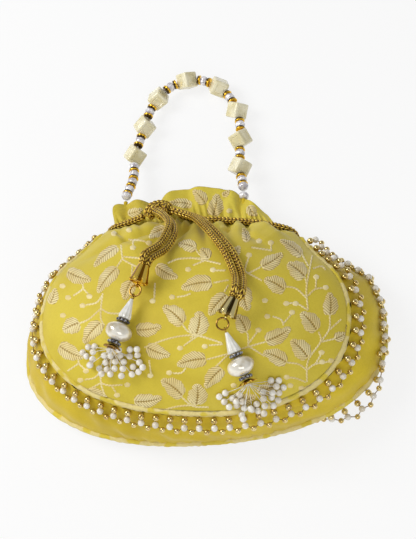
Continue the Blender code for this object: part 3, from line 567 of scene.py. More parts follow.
STEMS = """121,245.3 122.7,258 128.5,262.6 142.2,269.4;122.7,258 116.4,267.7;123.9,256.8 144.5,258.5
132.5,264.8 131.3,281;133,241 133,247.6;128.5,239.6 142,240.7 149,243.6
82.6,284.4 82.6,289 73.4,295.8;82.6,288 88.3,294;102.6,293.5 100.9,308.5 100.9,318.8 104.4,325.7
102,295.8 96.3,302.7 86,305;100.9,308.5 89.4,318.8 79.7,323.4;100.9,308.5 109,313 121.6,313.6
208.8,258.5 181.3,258.5 167.5,263;206.5,259.7 192.8,265.4;192.8,244 199.6,254.5 207.7,259
154.9,283.2 154.3,298.7;190.5,293.5 184.7,295.8 176.7,297;182.4,324.5 188.2,331.4 197.4,335.4
221.9,343 210,338.9 197.4,335.4 181.3,336 164,340 144.5,347.5;197.4,336 183.6,345.8
149.1,360 150.9,374;185.9,368 181.3,372.8 173.2,373.3;181.3,396.9 192.8,406 208.8,407.2
196.2,405 176.7,406.6 154.9,413;100.9,371.6 100.9,383 104.4,394.6;99.8,372.8 94,378 84.8,379.6
100.9,383 81.4,393.4;100.9,383 109,385.4 122.7,384.8;111.3,385.4 115.8,392.3
78,359 78,363.6 67.6,371;79,364 84.8,369.3;312.1,255.7 306.8,285.2 306.8,298.1 308,310
318.6,331.8 320.4,341.8 308,360.7 306.8,382;285,286.3 296.2,288.7 306.2,297.6
308,295.8 315,289.3 326.9,287.5;315.6,289.3 316.2,278;308,310 296.2,303.5 283.2,303.5
302,254.5 308.6,266.3;305,277 306.8,284;248.4,273.4 260.8,266.9;248.4,273.4 262,280.5
248.4,273.4 244.9,269.8 249,256.3;271.4,251.5 270.8,244;251.3,247.4 271.4,250.4
248.4,346 247.8,334.7 246,331.8;249,343 257.2,331.8;249,346.5 265.5,341.8;249,346.5 264.3,356
239.6,349.5 249,346.5;272.6,316.4 280.8,319.4 283.8,325.3;283.8,323 292,313.5
329.8,315.3 329.2,328.8 321,341.8;329.2,330 341,319.4;321,341.8 334.5,338.8
286.7,362.4 298.5,364.2 306.2,369.5;306.8,370 315,364.2 330.4,361.3;315.6,363.6 321.5,353.6
305.6,382 296.2,378.4 287.9,377.2;190,338.3 198.3,335.9 221.9,343;208.9,345.4 223,344.2
207,359.5 229,353.6;229,353.6 216,366.6;213.6,282.8 228.3,279.9;228.3,285.2 224.2,292.2
190,257.4 205.3,260.4 220.7,263.9;214.8,270.4 225.4,270.4;312.7,268.7 321,266.3 325.7,269.8"""

PX = PIXEL * 1000       # a pixel in millimetres
SUNK = 0.00012          # how far the stitches' edges lie in the cloth, in metres


def tree_of(*pieces):
    """What a needle meets first: the cloth of these pieces."""
    points, faces = [], []
    for piece in pieces:
        start = len(points)
        points += [v.co.copy() for v in piece.data.vertices]
        faces += [[start + k for k in face.vertices] for face in piece.data.polygons]
    return BVHTree.FromPolygons(points, faces)


def on_cloth(cloth, x, y, height):
    """Points at a height above the cloth, under points of the picture."""
    found = []
    for px, py, h in zip(np.ravel(x), np.ravel(y), np.ravel(height)):
        way = sight(px, py)
        spot, normal, _, _ = cloth.ray_cast(eye, way)
        if spot is None:
            spot, normal, _, _ = cloth.find_nearest(eye + way * (DISTANCE - 0.03))
        if normal.dot(toward) < 0:
            normal = -normal
        found.append(spot + normal * h)
    return np.array(found)


def built(name, points, faces, finish, body, smooth=True):
    """A piece from its points and faces."""
    mesh = bpy.data.meshes.new(name)
    mesh.from_pydata(np.vstack(points).tolist(), [], faces)
    if smooth:
        mesh.shade_smooth()
    mesh.materials.append(finish.material)
    piece = bpy.data.objects.new(name, mesh)
    bpy.context.scene.collection.objects.link(piece)
    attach(piece, body)
    return piece


class Stitching:
    """Patches of raised thread, gathered into one piece."""

    def __init__(self):
        self.points, self.faces, self.ridge, self.count = [], [], [], 0

    def patch(self, cloth, x, y, height, ridge):
        rows, columns = x.shape
        points = on_cloth(cloth, x, y, height)
        self.points.append(points)
        self.ridge.append(np.ravel(ridge))
        k = self.count + np.arange(rows * columns).reshape(rows, columns)
        p = points.reshape(rows, columns, 3)
        faced = np.cross(p[1:, 1:] - p[:-1, :-1], p[:-1, 1:] - p[1:, :-1]).sum((0, 1))
        self.faces.append(squares(k[:, ::-1] if faced @ np.array(toward) > 0 else k))
        self.count += rows * columns

    def leaf(self, cloth, x0, y0, x1, y1, width):
        run = np.hypot(x1 - x0, y1 - y0)
        way = np.array([x1 - x0, y1 - y0]) / run
        rows = max(24, int(run * 2.4))
        t, s = np.meshgrid(np.linspace(0, 1, rows), np.linspace(-1, 1, 15), indexing="ij")
        bulge = np.clip(np.sin(np.pi * t ** 0.66), 0, 1) ** 0.52 * (1.16 - 0.30 * t ** 2)
        lobes = (1 + 0.045 * np.sin(2 * np.pi * (t * 3.1 + 0.3 + 0.15 * np.sign(s) + x0 * 0.13))
                 - 0.17 * np.exp(-((t - 0.74 - 0.05 * np.sign(s)) / 0.055) ** 2))
        half = width / 2 * bulge * lobes
        along = t * run + abs(s) * half * 0.28 - 0.06 * run * (1 - t) * abs(s)
        bend = 0.05 * run * np.sin(np.pi * t)
        x = x0 + way[0] * along - way[1] * (s * half + bend)
        y = y0 + way[1] * along + way[0] * (s * half + bend)
        thread = (0.5 + 0.5 * np.cos(2 * np.pi * (t * run - abs(s) * half * 0.7) * PX / 1.6)) ** 0.8
        vein = np.exp(-(s / 0.085) ** 2) * ease(t / 0.1) * ease((0.93 - t) / 0.1)
        edge = 1 - abs(s) ** 5
        end = ease(t / 0.06) * ease((1 - t) / 0.06)
        height = 0.00078 * edge * end * (0.38 + 0.62 * thread) * (1 - 0.8 * vein) - SUNK
        ridge = (0.12 + 0.88 * thread) * (1 - 0.95 * vein) * (0.5 + 0.5 * edge)
        self.patch(cloth, x, y, height, ridge)

    def bud(self, cloth, x0, y0, size=3.3):
        t, s = np.meshgrid(np.linspace(0, 1, 7), np.linspace(0, 1, 15), indexing="ij")
        angle = s * 2 * np.pi
        r = size * t * (1 + 0.08 * np.cos(5 * angle + x0))
        height = 0.0006 * (1 - t ** 4) - SUNK
        x, y = r * np.cos(angle), 0.82 * r * np.sin(angle)
        thread = 0.5 + 0.5 * np.cos(2 * np.pi * x * PX / 0.9)
        self.patch(cloth, x0 + x, y0 + y, height, 0.55 + 0.45 * thread)

    def stem(self, cloth, points, width=2.2):
        step = 0.55
        line = line_of([(*p, 0) for p in points], step)[:, :2]
        way = unit(np.gradient(line, axis=0))
        run = np.arange(len(line))[:, None] * step
        s = np.linspace(-1, 1, 5)[None, :]
        twist = 0.5 + 0.5 * np.cos(2 * np.pi * (run / 3.1 + s * 0.28))
        half = width / 2 * (0.78 + 0.3 * twist)
        x = line[:, :1] - way[:, 1:] * half * s
        y = line[:, 1:] + way[:, :1] * half * s
        height = 0.00052 * (1 - s ** 4) * (0.45 + 0.55 * twist) - 0.0001
        self.patch(cloth, x, y, height, 0.35 + 0.65 * twist + 0 * s)

    def sewn(self, name, body):
        faces = np.vstack(self.faces).tolist()
        piece = built(name, self.points, faces, thread_cream, body)
        ridge = piece.data.attributes.new("ridge", "FLOAT", "POINT")
        ridge.data.foreach_set("value", np.concatenate(self.ridge))
        return piece


thread_cream = Finish("cream_satin_stitch", Roughness=0.5, Sheen_Weight=0.3, Specular_IOR_Level=0.4)
sewn_high = thread_cream.ridge()
sewn_tone = thread_cream.mix(thread_cream.noise(90, 2).between(0.35, 0.65), plain(228, 206, 138),
                             plain(240, 224, 166))
# Where the stitches lie low, between threads, along a leaf's vein and at its edges, the cream is painted
# dark ochre: painted shade in the grooves.
sewn_tone = thread_cream.mix(sewn_high.between(0.06, 0.66), plain(160, 128, 48), sewn_tone)
thread_cream.set(Base_Color=sewn_tone)
thread_cream.relief(thread_cream.noise(2400, 1), 0.0001, 0.4)


front_cloth = tree_of(front)
vine = Stitching()
for leaf in numbers(LEAVES):
    vine.leaf(front_cloth, *leaf)
for bud in numbers(BUDS):
    vine.bud(front_cloth, *bud)
for stem in STEMS.replace("\n", ";").split(";"):
    vine.stem(front_cloth, numbers(stem))
vine.sewn("front_embroidery", "bag")


# The frill is the panels' own cloth above the drawstring, turned in at its hem to a lining.
# It stands in soft folds, and falls away towards its right end.

NECK_TOP, NECK_LOW = 0.0235, 0.0125     # the heights of its two walls at the drawstring
FRILL_END = 0.0041                      # how far inside the neck's ends it starts
WALL, LINED = 0.58, 0.42                # the shares of its cloth outside and inside the hem
HEM = line_of("""-58.2,88.5,0 -57.5,98.5,0 -46,100.4,0 -30,99,0 -18,105.5,0 -3,107,0 13,104.5,0
25,100,0 33,92,0 45,80,0""", 0.0005)
# Each fold of the frill: where it stands along the neck, how deep it is and how wide, in
# millimetres.
FRILL_FOLDS = """-30,4.2,4 -21.5,-1.4,6 -8,1.2,3 5,-.8,7 16,1.2,3 26.8,3.2,3.4 34,-1.2,4.5
-50,2.2,3.5 -41,-1.6,4.5"""


def frill_form(u, v):
    """u runs along the front wall and back along the rear one, v up to the hem and down inside."""
    w = np.where(u < 0.5, 2 * u, 2 - 2 * u)
    sign = np.where(u < 0.5, 1.0, -1.0) * np.clip(np.sin(np.pi * (2 * u % 1)) * 14, 0, 1)
    share = np.where(v < WALL, v / WALL, 1 - (v - WALL) / LINED * 0.8)
    wall = np.where(v < WALL, 1.0, 0.45 + 0.55 * np.clip((0.66 - v) / 0.08, 0, 1))
    k = w * (len(HEM) - 1)
    edge = np.stack([np.interp(k, np.arange(len(HEM)), HEM[:, i]) for i in (0, 1)], 1)
    x = -NECK + FRILL_END + 2 * (NECK - FRILL_END) * w
    base = np.stack([x, neck_y(x) - 0.0049], 1)
    here = base + (edge - base) * share[:, None]
    middle, half_neck = (NECK_TOP + NECK_LOW) / 2, (NECK_TOP - NECK_LOW) / 2
    flare = ease((share - 0.28) / 0.72)
    rounded = half_neck * (1 - 0.5 * abs(2 * w - 1) ** 6)
    half = (rounded + (0.0038 - rounded) * flare) * wall
    wave = 0.0008 * flare * np.sin(12 * np.pi * w)
    puff = 0.0012 * np.sin(np.pi * np.clip(share, 0, 1)) * np.where(sign > 0, 1, 0.4)
    gathers = 0.0009 * np.sin(w * 150 + 2 * np.sin(w * 23)) * (1 - ease((share - 0.3) / 0.5))
    z = middle + (0.017 - middle) * flare + wave + sign * (half + puff + gathers)
    spot = here[:, 0]
    for at, depth, width in np.array(numbers(FRILL_FOLDS)) / 1000:
        line = at + (at * 0.10) * (share - 1)
        fold = np.exp(-((spot - line) / width) ** 2) * ease((share - 0.15) / 0.4)
        z -= sign * fold * depth * np.where(sign > 0, 1, 0.5) * wall
        here[:, 1] -= fold * np.maximum(depth, 0) * 0.18 * share
    hem_line = np.exp(-((v - 0.47) / 0.012) ** 2) * 0.00035
    z -= sign * hem_line
    return np.stack([here[:, 0], here[:, 1], z], 1)


frill_silk = silk("frill_silk", plain(219, 199, 66), plain(186, 160, 42), plain(236, 219, 90))
frill = woven("gathered_frill", 400, 60, frill_form, frill_silk, "bag")
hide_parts("neck_frill")
frill_cloth = tree_of(frill)
sprigs = Stitching()
for leaf in numbers(FRILL_LEAVES):
    sprigs.leaf(frill_cloth, *leaf)
sprigs.bud(frill_cloth, 229.3, 211)
frill_vine = sprigs.sewn("frill_embroidery", "bag")


# Bead laces are sewn into both seams: at even steps a gold ball beside the piping, a pearl
# outside it, and a smaller gold ball between the pairs, netted with dark gold thread. The
# back one is tucked under along the bottom and turns up round the right side.

def bead(name, radius, segments=9, rings=6):
    bpy.ops.object.select_all(action="DESELECT")
    bpy.ops.mesh.primitive_uv_sphere_add(segments=segments, ring_count=rings, radius=radius)
    pattern = bpy.context.object
    pattern.name = name
    return pattern


def strewn(name, pattern, places, finish, body, smooth=True):
    """One piece made of copies of a pattern at the places given, each a point or a matrix."""
    mesh = pattern.data
    points = np.empty(len(mesh.vertices) * 3)
    mesh.vertices.foreach_get("co", points)
    points = points.reshape(-1, 3)
    faces = [list(face.vertices) for face in mesh.polygons]
    uv = np.empty(len(mesh.loops) * 2)
    mesh.uv_layers[0].data.foreach_get("uv", uv)
    all_points, all_faces = [], []
    for k, place in enumerate(places):
        turn = np.array(place) if np.ndim(place) == 2 else np.array(Matrix.Translation(place))
        all_points.append(points @ turn[:3, :3].T + turn[:3, 3])
        all_faces += [[i + k * len(points) for i in face] for face in faces]
    piece = built(name, all_points, all_faces, finish, body, smooth)
    piece.data.uv_layers.new(name="UVMap").data.foreach_set("uv", np.tile(uv, len(places)))
    bpy.data.objects.remove(pattern)
    return piece


def threads(name, pairs, radius, finish, body):
    """Short straight threads between pairs of points, as one piece."""
    bpy.ops.object.select_all(action="DESELECT")
    bpy.ops.mesh.primitive_cylinder_add(vertices=5, radius=1, depth=1)
    places = []
    for a, b in pairs:
        a, b = Vector(a), Vector(b)
        way = b - a
        turn = way.to_track_quat("Z", "Y").to_matrix().to_4x4()
        size = Matrix.Diagonal((radius, radius, way.length, 1))
        places.append(Matrix.Translation((a + b) / 2) @ turn @ size)
    return strewn(name, bpy.context.object, places, finish, body)


def mottled(name, noise, low, high, first, second, **constants):
    """A finish whose colour drifts from one tone to another with a noise."""
    finish = Finish(name, **constants)
    share = finish.noise(*noise).between(low, high)
    finish.set(Base_Color=finish.mix(share, plain(*first), plain(*second)))
    return finish


gold = mottled("polished_gold_bead", (300, 1), 0.35, 0.65, (232, 212, 152), (206, 176, 108),
               Metallic=1.0, Roughness=0.2)
pearl = mottled("pearl_white", (220, 1), 0.35, 0.65, (244, 240, 230), (226, 216, 196),
                Roughness=0.22, Coat_Weight=0.6, Coat_Roughness=0.1, Specular_IOR_Level=0.6)
dark_thread = mottled("dark_gold_thread", (900, 1), 0.3, 0.7, (128, 98, 34), (176, 142, 62),
                      Roughness=0.6, Metallic=0.3)

BALL_R, SMALL_R, SMALL_SEAT = 0.0021, 0.00178, 0.0018   # the seat is what a small ball rests on
LACE_STEP = 0.00525     # from the seam to a pearl
TOUCH = 0.0002          # the room left between a bead and the cloth it lies on

# How far the lace leans below level at its root, first half and second half, in degrees, at
# shares of the seam from the neck's left end. Past 90 it is turned back over the bag.
LEANS = {"front": (FRONT, (0, 0.25, 0.5, 0.75, 1), (-34, -40, -16, -26, -20),
                   (-46, -54, -24, -38, -24), (-52, -60, -30, -46, -28)),
         "back": (BACK, (0, 0.69, 0.80, 1), (-100, -100, 60, 84), (-128, -128, 98, 122),
                  (-120, -120, 132, 158))}


def lace_ways(word, u):
    """At shares u of the seam: the root, and the two directions that the lace takes outwards."""
    seam, marks, *leans = LEANS[word]
    out, up = seam.out(u), np.array((0.0, 0.0, 1.0))
    ways = []
    for lean in leans:
        angle = np.radians(np.interp(u, marks, lean))[:, None]
        ways.append(out * np.cos(angle) + up * np.sin(angle))
    root = seam.at(u) + ways[0] * (PIPING_R + 1.5 * GAP)
    return root, ways[1], ways[2]


side_cloth = tree_of(side)


def laid(spots, r):
    """Beads that lean on the gusset or the table rest on it."""
    rested = []
    for spot in spots:
        near, normal, _, away = side_cloth.find_nearest(Vector(spot))
        normal = Vector((normal.x, normal.y, abs(normal.z) * (1 if near.z > 0.02 else 0))).normalized()
        if normal.dot(Vector((near.x, near.y, 0))) < 0:
            normal = Vector((-normal.x, -normal.y, normal.z))
        off = (Vector(spot) - near).dot(normal)
        if away < 0.012 and off < r + TOUCH and near.z > 0.0125:
            spot = np.array(Vector(spot) + normal * (r + TOUCH - off))
        spot[2] = max(spot[2], r + TOUCH)
        rested.append(spot)
    return np.array(rested)


for word, count in (("front", 47), ("back", 55)):
    seam = LEANS[word][0]
    whole = seam.even(0.008 + 0.976 * (np.arange(count) + 0.5) / count)
    half = seam.even(0.008 + 0.976 * np.arange(1, count) / count)
    root, first, second = lace_ways(word, whole)
    inner = laid(root + first * 0.0020, BALL_R)
    middle = laid(root + first * LACE_STEP + second * 0.0010, BALL_R)
    low_root, low_first, low_second = lace_ways(word, half)
    tips = laid(low_root + low_first * LACE_STEP + low_second * 0.0033, SMALL_SEAT)
    balls = strewn(f"{word}_lace_gold_beads", bead("ball", BALL_R), list(inner), gold, "bag")
    small = strewn(f"{word}_lace_small_gold_beads", bead("small_ball", SMALL_R), list(tips), gold, "bag")
    pearls = strewn(f"{word}_lace_pearls", bead("pearl", BALL_R), list(middle), pearl, "bag")
    pairs = list(zip(root - first * 0.0015, middle))
    pairs += list(zip(middle[:-1], tips)) + list(zip(middle[1:], tips))
    net = threads(f"{word}_lace_net", pairs, 0.00028, dark_thread, "bag")
    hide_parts(f"{word}_bead_lace")


# A pair of cord ends is clamped in a faceted, scalloped gold bell. From the bell's eye hangs a
# jump ring, and from the ring a tassel: a fluted drop, a baroque pearl between two rhinestone
# rondelles, a filigree flower cap and a fan of pearl threads that rests on the cloth.

# Lengths along the tassel (L, T) and radii (R).
CAP_L, CAP_TOP_R, CAP_RIM_R = 0.0110, 0.0040, 0.0058
RING_R, RING_WIRE_R, EYE_R, EYE_WIRE_R = 0.0034, 0.00045, 0.0015, 0.00035
EYE_SEAT = EYE_R - EYE_WIRE_R - RING_WIRE_R - GAP
EYE_REACH = EYE_SEAT + EYE_R
DROP_L, DROP_TIP_R, DROP_R = 0.0125, 0.0011, 0.0039
RONDELLE_R, RONDELLE_T = 0.0040, 0.0020
PEARL_R, PEARL_T = 0.0080, 0.0110
FLOWER_R, FLOWER_T = 0.0050, 0.0022


def turned(name, start, way, profile, finish, body, across=None, sides=64, rows=60, shape=None,
           smooth=True):
    """A turned piece: profile gives (distance along way, radius) from end to end, and shape a
    factor on the radius at each angle and distance along the way."""
    start, way = np.array(start), np.array(way)
    side = unit(np.cross(way, across if across is not None else (0.0, 0.0, 1.0)))
    over = np.cross(side, way)
    marks = np.array(profile, float)
    run = run_of(marks)

    def form(u, v):
        at = v * run[-1]
        along = np.interp(at, run, marks[:, 0])
        r = np.interp(at, run, marks[:, 1])
        a = 2 * np.pi * u
        if shape is not None:
            r = r * shape(a, along)
        return about(start + way * along[:, None], side, over, r, a)

    piece = woven(name, sides, rows, form, finish, body)
    if not smooth:
        bpy.ops.object.shade_flat()
    return piece


def ring_of_wire(name, centre, axis, radius, wire, finish, body):
    bpy.ops.object.select_all(action="DESELECT")
    bpy.ops.mesh.primitive_torus_add(major_radius=radius, minor_radius=wire, major_segments=48,
                                     minor_segments=10)
    piece = bpy.context.object
    piece.name = piece.data.name = name
    turn = Vector(axis).to_track_quat("Z", "Y").to_matrix().to_4x4()
    piece.data.transform(Matrix.Translation(centre) @ turn)
    bpy.ops.object.shade_smooth()
    piece.data.materials.append(finish.material)
    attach(piece, body)
    return piece


def facets(count, depth=1.0):
    """The outline of a piece with flat sides."""
    step = 2 * np.pi / count
    return lambda a, along: 1 - depth * (1 - np.cos(step / 2) / np.cos((a % step) - step / 2))


def shares(text, length, radius):
    """A profile given in shares of a piece's length and radius."""
    return [(x * length, r * radius) for x, r in numbers(text)]


def rounded(radius, length, ends, steps):
    """The profile of a barrel or ball whose ends are flat out to a share of its radius."""
    hole = math.asin(ends)
    angles = np.linspace(hole, math.pi - hole, steps)
    half = math.cos(angles[0])
    side = [(length * (0.5 - 0.5 * math.cos(a) / half), radius * math.sin(a)) for a in angles]
    return [(0.0, 0.0), *side, (length, 0.0)]


def facet_painted_gold(name, bright, dark):
    """Polished gold whose flat sides are painted by turns bright and dark, six of each: a painted
    reflection.
    """
    finish = Finish(name, Metallic=1.0, Roughness=0.16)
    around, _ = finish.laid()
    # Six facets are painted dark and six bright, a painted reflection of dark and light surroundings.
    share = (around * 37.7 + 0.6).wave().between(0.1, 0.5)
    finish.set(Base_Color=finish.mix(share, plain(*bright), plain(*dark)))
    return finish


# The bells, their eyes and the right flower cap carry these painted facet reflections.
bell_gold = facet_painted_gold("bell_gold", (250, 212, 92), (150, 100, 20))
pale_gold = facet_painted_gold("pale_gold", (244, 226, 160), (128, 104, 52))
ring_gold = mottled("ring_gold", (400, 1), 0.35, 0.65, (190, 152, 74), (150, 114, 50),
                    Metallic=1.0, Roughness=0.25)
drop_white = mottled("fluted_pearl_drop", (180, 1), 0.35, 0.65, (248, 247, 242), (228, 226, 216),
                     Roughness=0.18, Coat_Weight=0.5, Coat_Roughness=0.08)
# The baroque pearl's grey-brown blotches are painted reflections, scattered by a noise.
baroque = mottled("baroque_pearl", (120, 2), 0.42, 0.60, (248, 243, 230), (204, 190, 158),
                  Roughness=0.14, Metallic=0.3, Coat_Weight=0.9, Coat_Roughness=0.06)
dark_metal = mottled("rondelle_setting", (500, 1), 0.35, 0.65, (84, 78, 74), (140, 128, 108),
                     Metallic=0.9, Roughness=0.3)
stone = mottled("rhinestone", (700, 1), 0.4, 0.6, (210, 214, 224), (96, 100, 116),
                Metallic=0.7, Roughness=0.08)
silk_thread = mottled("white_silk_thread", (900, 1), 0.3, 0.7, (244, 242, 236), (216, 212, 200),
                      Roughness=0.6)

# Each tassel: the middle of its jump ring, the ways of the tassel and of its cords, the ring's
# own axis and the drop eye's, the bell's gold, and which of its pearls have a thread to the cap.
TASSELS = {
    "left": dict(ring=(-.02831, .00338, .08099), along=(-.3818, -.9137, -.139),
                 cord_way=(-.3303, -.9347, -.1313), normal=(-.1765, -.0756, .9814),
                 axis=(-.9072, .3992, -.1324), metal=bell_gold, every=3),
    "right": dict(ring=(.02225, -.02112, .0802), along=(.3392, -.867, -.365),
                  cord_way=(-.4597, -.8609, -.2181), normal=(.1686, -.3257, .9303),
                  axis=(-.9255, -.3771, .0357), metal=pale_gold, every=2)}

# Where the pearls of the two fans lie, as points of the picture. Those that meet lie in a heap,
# and a third number lifts a pearl by so many millimetres.
FAN_PEARL_R = 0.0020
FANS = {
    "left": """90.6,347 96.7,346.5 85.2,352.3 97.4,351.5 89.8,355.7 106.1,355.2 131.1,355.7 138.8,354.6
98,358 107.4,362 116.8,361 125.3,361.3 140.6,361.5 91.8,364.6 144.9,365.6 101.5,367.7 109.5,368.2
117.3,367.1 125.5,367.1 134.4,365.9 106.1,371.2 114.8,371.2 139.8,370.7 125,373 133.2,373 132.1,349.3
139.5,349 98,362.5 113,355.5 122,355 115.3,350,5 123.9,349.5,5""",
    "right": """225.4,391.3 219.5,394.8 224.4,398.6 229.2,401.9 232.2,396.4 236.6,403.2 239.3,393.2 242,398.6
243.9,404 241.4,408.4 247.9,409 256.3,401.9 256.9,408 262,407.8 262.6,390.2 262.6,394.8 263.4,399.7
266,405 270.4,379.4 278,379.4 275,383.8 282.6,386.1 271,388.6 277.8,390 271.2,395.4 277.2,397
272.1,401 250,403 236,397"""}


for word, t in TASSELS.items():
    ring, along, cord_way = (np.array(t[key]) for key in ("ring", "along", "cord_way"))
    body = f"{word}_tassel"
    top = ring - cord_way * RING_R
    rim = top - cord_way * EYE_REACH

    def scallop(a, along):
        wave = 0.05 * np.cos(12 * a) * np.clip(1 - abs(along) / 0.0025, 0, 1)
        return facets(12)(a, along) * (1 + wave)

    bell = turned(f"{word}_bell", rim, -cord_way,
                  [(0.0006, 0.0), (0.0006, 0.0040), (-0.0004, 0.0050), (0.0004, CAP_RIM_R),
                   (0.0020, CAP_RIM_R * 0.94), (CAP_L * 0.97, CAP_TOP_R * 0.86),
                   (CAP_L, CAP_TOP_R * 0.80), (CAP_L, 0.0)],
                  t["metal"], "bag", sides=24, rows=22, shape=scallop, smooth=False)
    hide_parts(f"{word}_cord_cap")
    eyelet = ring_of_wire(f"{word}_bell_eye", top - cord_way * EYE_SEAT, np.cross(t["normal"], cord_way),
                          EYE_R, EYE_WIRE_R, t["metal"], "bag")
    jump = ring_of_wire(f"{word}_ring", ring, t["normal"], RING_R, RING_WIRE_R * 1.25, ring_gold,
                        "bag")
    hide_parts(f"{word}_jump_ring")

    hinge = ring + along * RING_R
    drop_eye = ring_of_wire(f"{word}_drop_eye", hinge + along * EYE_SEAT, t["axis"], EYE_R,
                            EYE_WIRE_R, ring_gold, body)
    drop = turned(f"{word}_fluted_drop", hinge + along * EYE_REACH, along,
                  [(0.0, 0.0), (0.0, DROP_TIP_R * 0.8), (0.0008, DROP_TIP_R), (DROP_L * 0.86, DROP_R),
                   (DROP_L * 0.95, DROP_R * 0.98), (DROP_L, DROP_R * 0.8), (DROP_L, 0.0)],
                  drop_white, body, rows=70, shape=lambda a, along: 1 - 0.10 * abs(np.sin(5 * a)) ** 1.5)
    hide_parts(f"{word}_drop_bead")

    at = EYE_REACH + DROP_L + GAP
    side = unit(np.cross(along, t["axis"]))
    over = np.cross(side, along)
    for piece_word in ("upper", "lower"):
        middle = hinge + along * (at + RONDELLE_T / 2)
        disc = turned(f"{word}_{piece_word}_rondelle_disc", hinge + along * at, along,
                      shares("0,0 0,.92 .25,.96 .3,.8 .7,.8 .75,.96 1,.92 1,0", RONDELLE_T, RONDELLE_R),
                      dark_metal, body, sides=48, rows=36, smooth=False)
        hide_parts(f"{word}_{piece_word}_rondelle")
        bpy.ops.object.select_all(action="DESELECT")
        bpy.ops.mesh.primitive_ico_sphere_add(subdivisions=1, radius=0.00088)
        spots = [middle + (side * math.cos(a) + over * math.sin(a)) * RONDELLE_R * 0.86
                 for a in np.arange(11) * 2 * math.pi / 11]
        stones = strewn(f"{word}_{piece_word}_rondelle_stones", bpy.context.object, spots, stone,
                        body, smooth=False)
        at += RONDELLE_T + GAP
        if piece_word == "upper":
            def lumpy(a, along):
                dent = np.exp(-((a - 2.2) ** 2) / 0.3) * np.exp(-((along - 0.005) / 0.002) ** 2)
                return (1 + 0.025 * np.sin(2 * a + along * 400) + 0.018 * np.cos(3 * a - along * 700)
                        - 0.03 * dent)

            round_pearl = turned(f"{word}_baroque_pearl", hinge + along * at, along,
                                 rounded(PEARL_R * 0.98, PEARL_T, 0.22, 24), baroque, body,
                                 shape=lumpy)
            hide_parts(f"{word}_round_pearl")
            at += PEARL_T + GAP

    flower = turned(f"{word}_filigree_cap", hinge + along * at, along,
                    [(0.0, 0.0), (0.0, 0.0014), (0.0003, 0.0022), (0.0009, 0.0037),
                     (FLOWER_T * 0.8, FLOWER_R * 0.95), (FLOWER_T, FLOWER_R),
                     (FLOWER_T * 0.95, FLOWER_R * 0.82), (FLOWER_T * 0.6, 0.0028),
                     (FLOWER_T * 0.5, 0.0)],
                    ring_gold if word == "left" else bell_gold, body, sides=96, rows=50,
                    shape=lambda a, along: 1 + 0.13 * np.cos(8 * a) * np.clip(along / FLOWER_T, 0, 1)
                    + 0.03 * np.cos(24 * a))
    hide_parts(f"{word}_flower_cap")
    at += FLOWER_T + GAP

    root = hinge + along * at
    spots, lines = [], []
    for px, py, *raised in numbers(FANS[word]):
        way = sight(px, py)
        spot, normal, _, _ = front_cloth.ray_cast(eye, way)
        if spot is None:
            spot, normal, _, _ = front_cloth.find_nearest(eye + way * (DISTANCE - 0.01))
        normal = -normal if normal.z < 0 else normal
        lift = FAN_PEARL_R + 0.0002 + sum(raised) / 1000
        for other, its_lift in spots:
            apart = float(np.linalg.norm(np.array(spot) - other))
            if apart < 2 * FAN_PEARL_R:
                lift = max(lift, its_lift + math.sqrt(4 * FAN_PEARL_R ** 2 - apart ** 2) * 0.85)
        spots.append((np.array(spot), lift))
        end = np.array(spot + normal * lift)
        share = np.linspace(0, 1, 7)[:, None]
        arch = np.array(normal) * (np.sin(np.pi * share) * 0.0006)
        lines.append(root + (end - root) * share + arch)
    pearls = strewn(f"{word}_fan_pearls", bead("fan_pearl", FAN_PEARL_R, 12, 8),
                    [line[-1] for line in lines], pearl, body)
    pairs = [(a, b) for line in lines[::t["every"]] for a, b in zip(line, line[1:])]
    fan = threads(f"{word}_fan_threads", pairs, 0.00017, silk_thread, body)
    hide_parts(f"{word}_pearl_fringe")

    for end in "ab":
        piece, line = free_ends[f"{word}_cord_{end}"]
        [tuple(p) for p in line[::4]] + [tuple(line[-1])]


# The handle is a stiff strand of cut white beads (b) and gold spacers (s) with eight ivory
# pearl blocks (c), strung tight on one thread that ends in the loops at the neck.

BEAD_R, BEAD_L, SPACER_R, SPACER_L = 0.0035, 0.0047, 0.0031, 0.0023
STRAND = """b-.0505,.1071,.0167 s-.0499,.1093,.0161 b-.0491,.1126,.0153 s-.0482,.1159,.0145
b-.0475,.1192,.0137 s-.0470,.1226,.0130 b-.0470,.1260,.0123 s-.0471,.1294,.0117 b-.0474,.1329,.0111
c-.0472,.1427,.0096 s-.0454,.1512,.0088 b-.0445,.1546,.0086 s-.0436,.1580,.0084 c-.0414,.1664,.0081
s-.0393,.1749,.0080 b-.0382,.1783,.0080 s-.0368,.1815,.0080 c-.0324,.1890,.0080 s-.0266,.1956,.008
b-.0238,.1976,.008 s-.0207,.1993,.008 c-.0124,.2019,.0080 s-.0037,.2013,.008 b-.0004,.2002,.008
s.0028,.1987,.008 c.0100,.1938,.0080 s.0156,.1871,.008 b.0175,.1842,.008 s.0192,.1811,.008
c.0225,.1730,.0080 s.0241,.1644,.0081 b.0245,.1610,.0082 s.0248,.1575,.0083 c.0246,.1488,.0090
s.0243,.1401,.0099 b.0243,.1366,.0104 s.0243,.1331,.0110 c.0245,.1245,.0126 s.0254,.1161,.0145
b.0260,.1127,.0154 s.0266,.1093,.0162 b.0270,.1071,.0167"""
BLOCK = 0.0106      # the side of a block
# The way of the thread through each block, and how far the block has turned on it, in degrees.
CUBE_WAYS = [(.122, .986, -.116), (.24, .97, -.022), (.581, .814, 0), (.993, .122, 0), (.743, -.669, 0),
             (.284, -.959, .003), (-.032, -.995, .091), (.063, -.978, .2)]
CUBE_ROLLS = [50, 52, 48, 30, 40, 135, 40, 130]


def facing(place, way):
    z = Vector(way).normalized()
    x = Vector((0, 0, 1)).cross(z).normalized()
    return Matrix.Translation(place) @ Matrix((x, z.cross(x), z)).transposed().to_4x4()


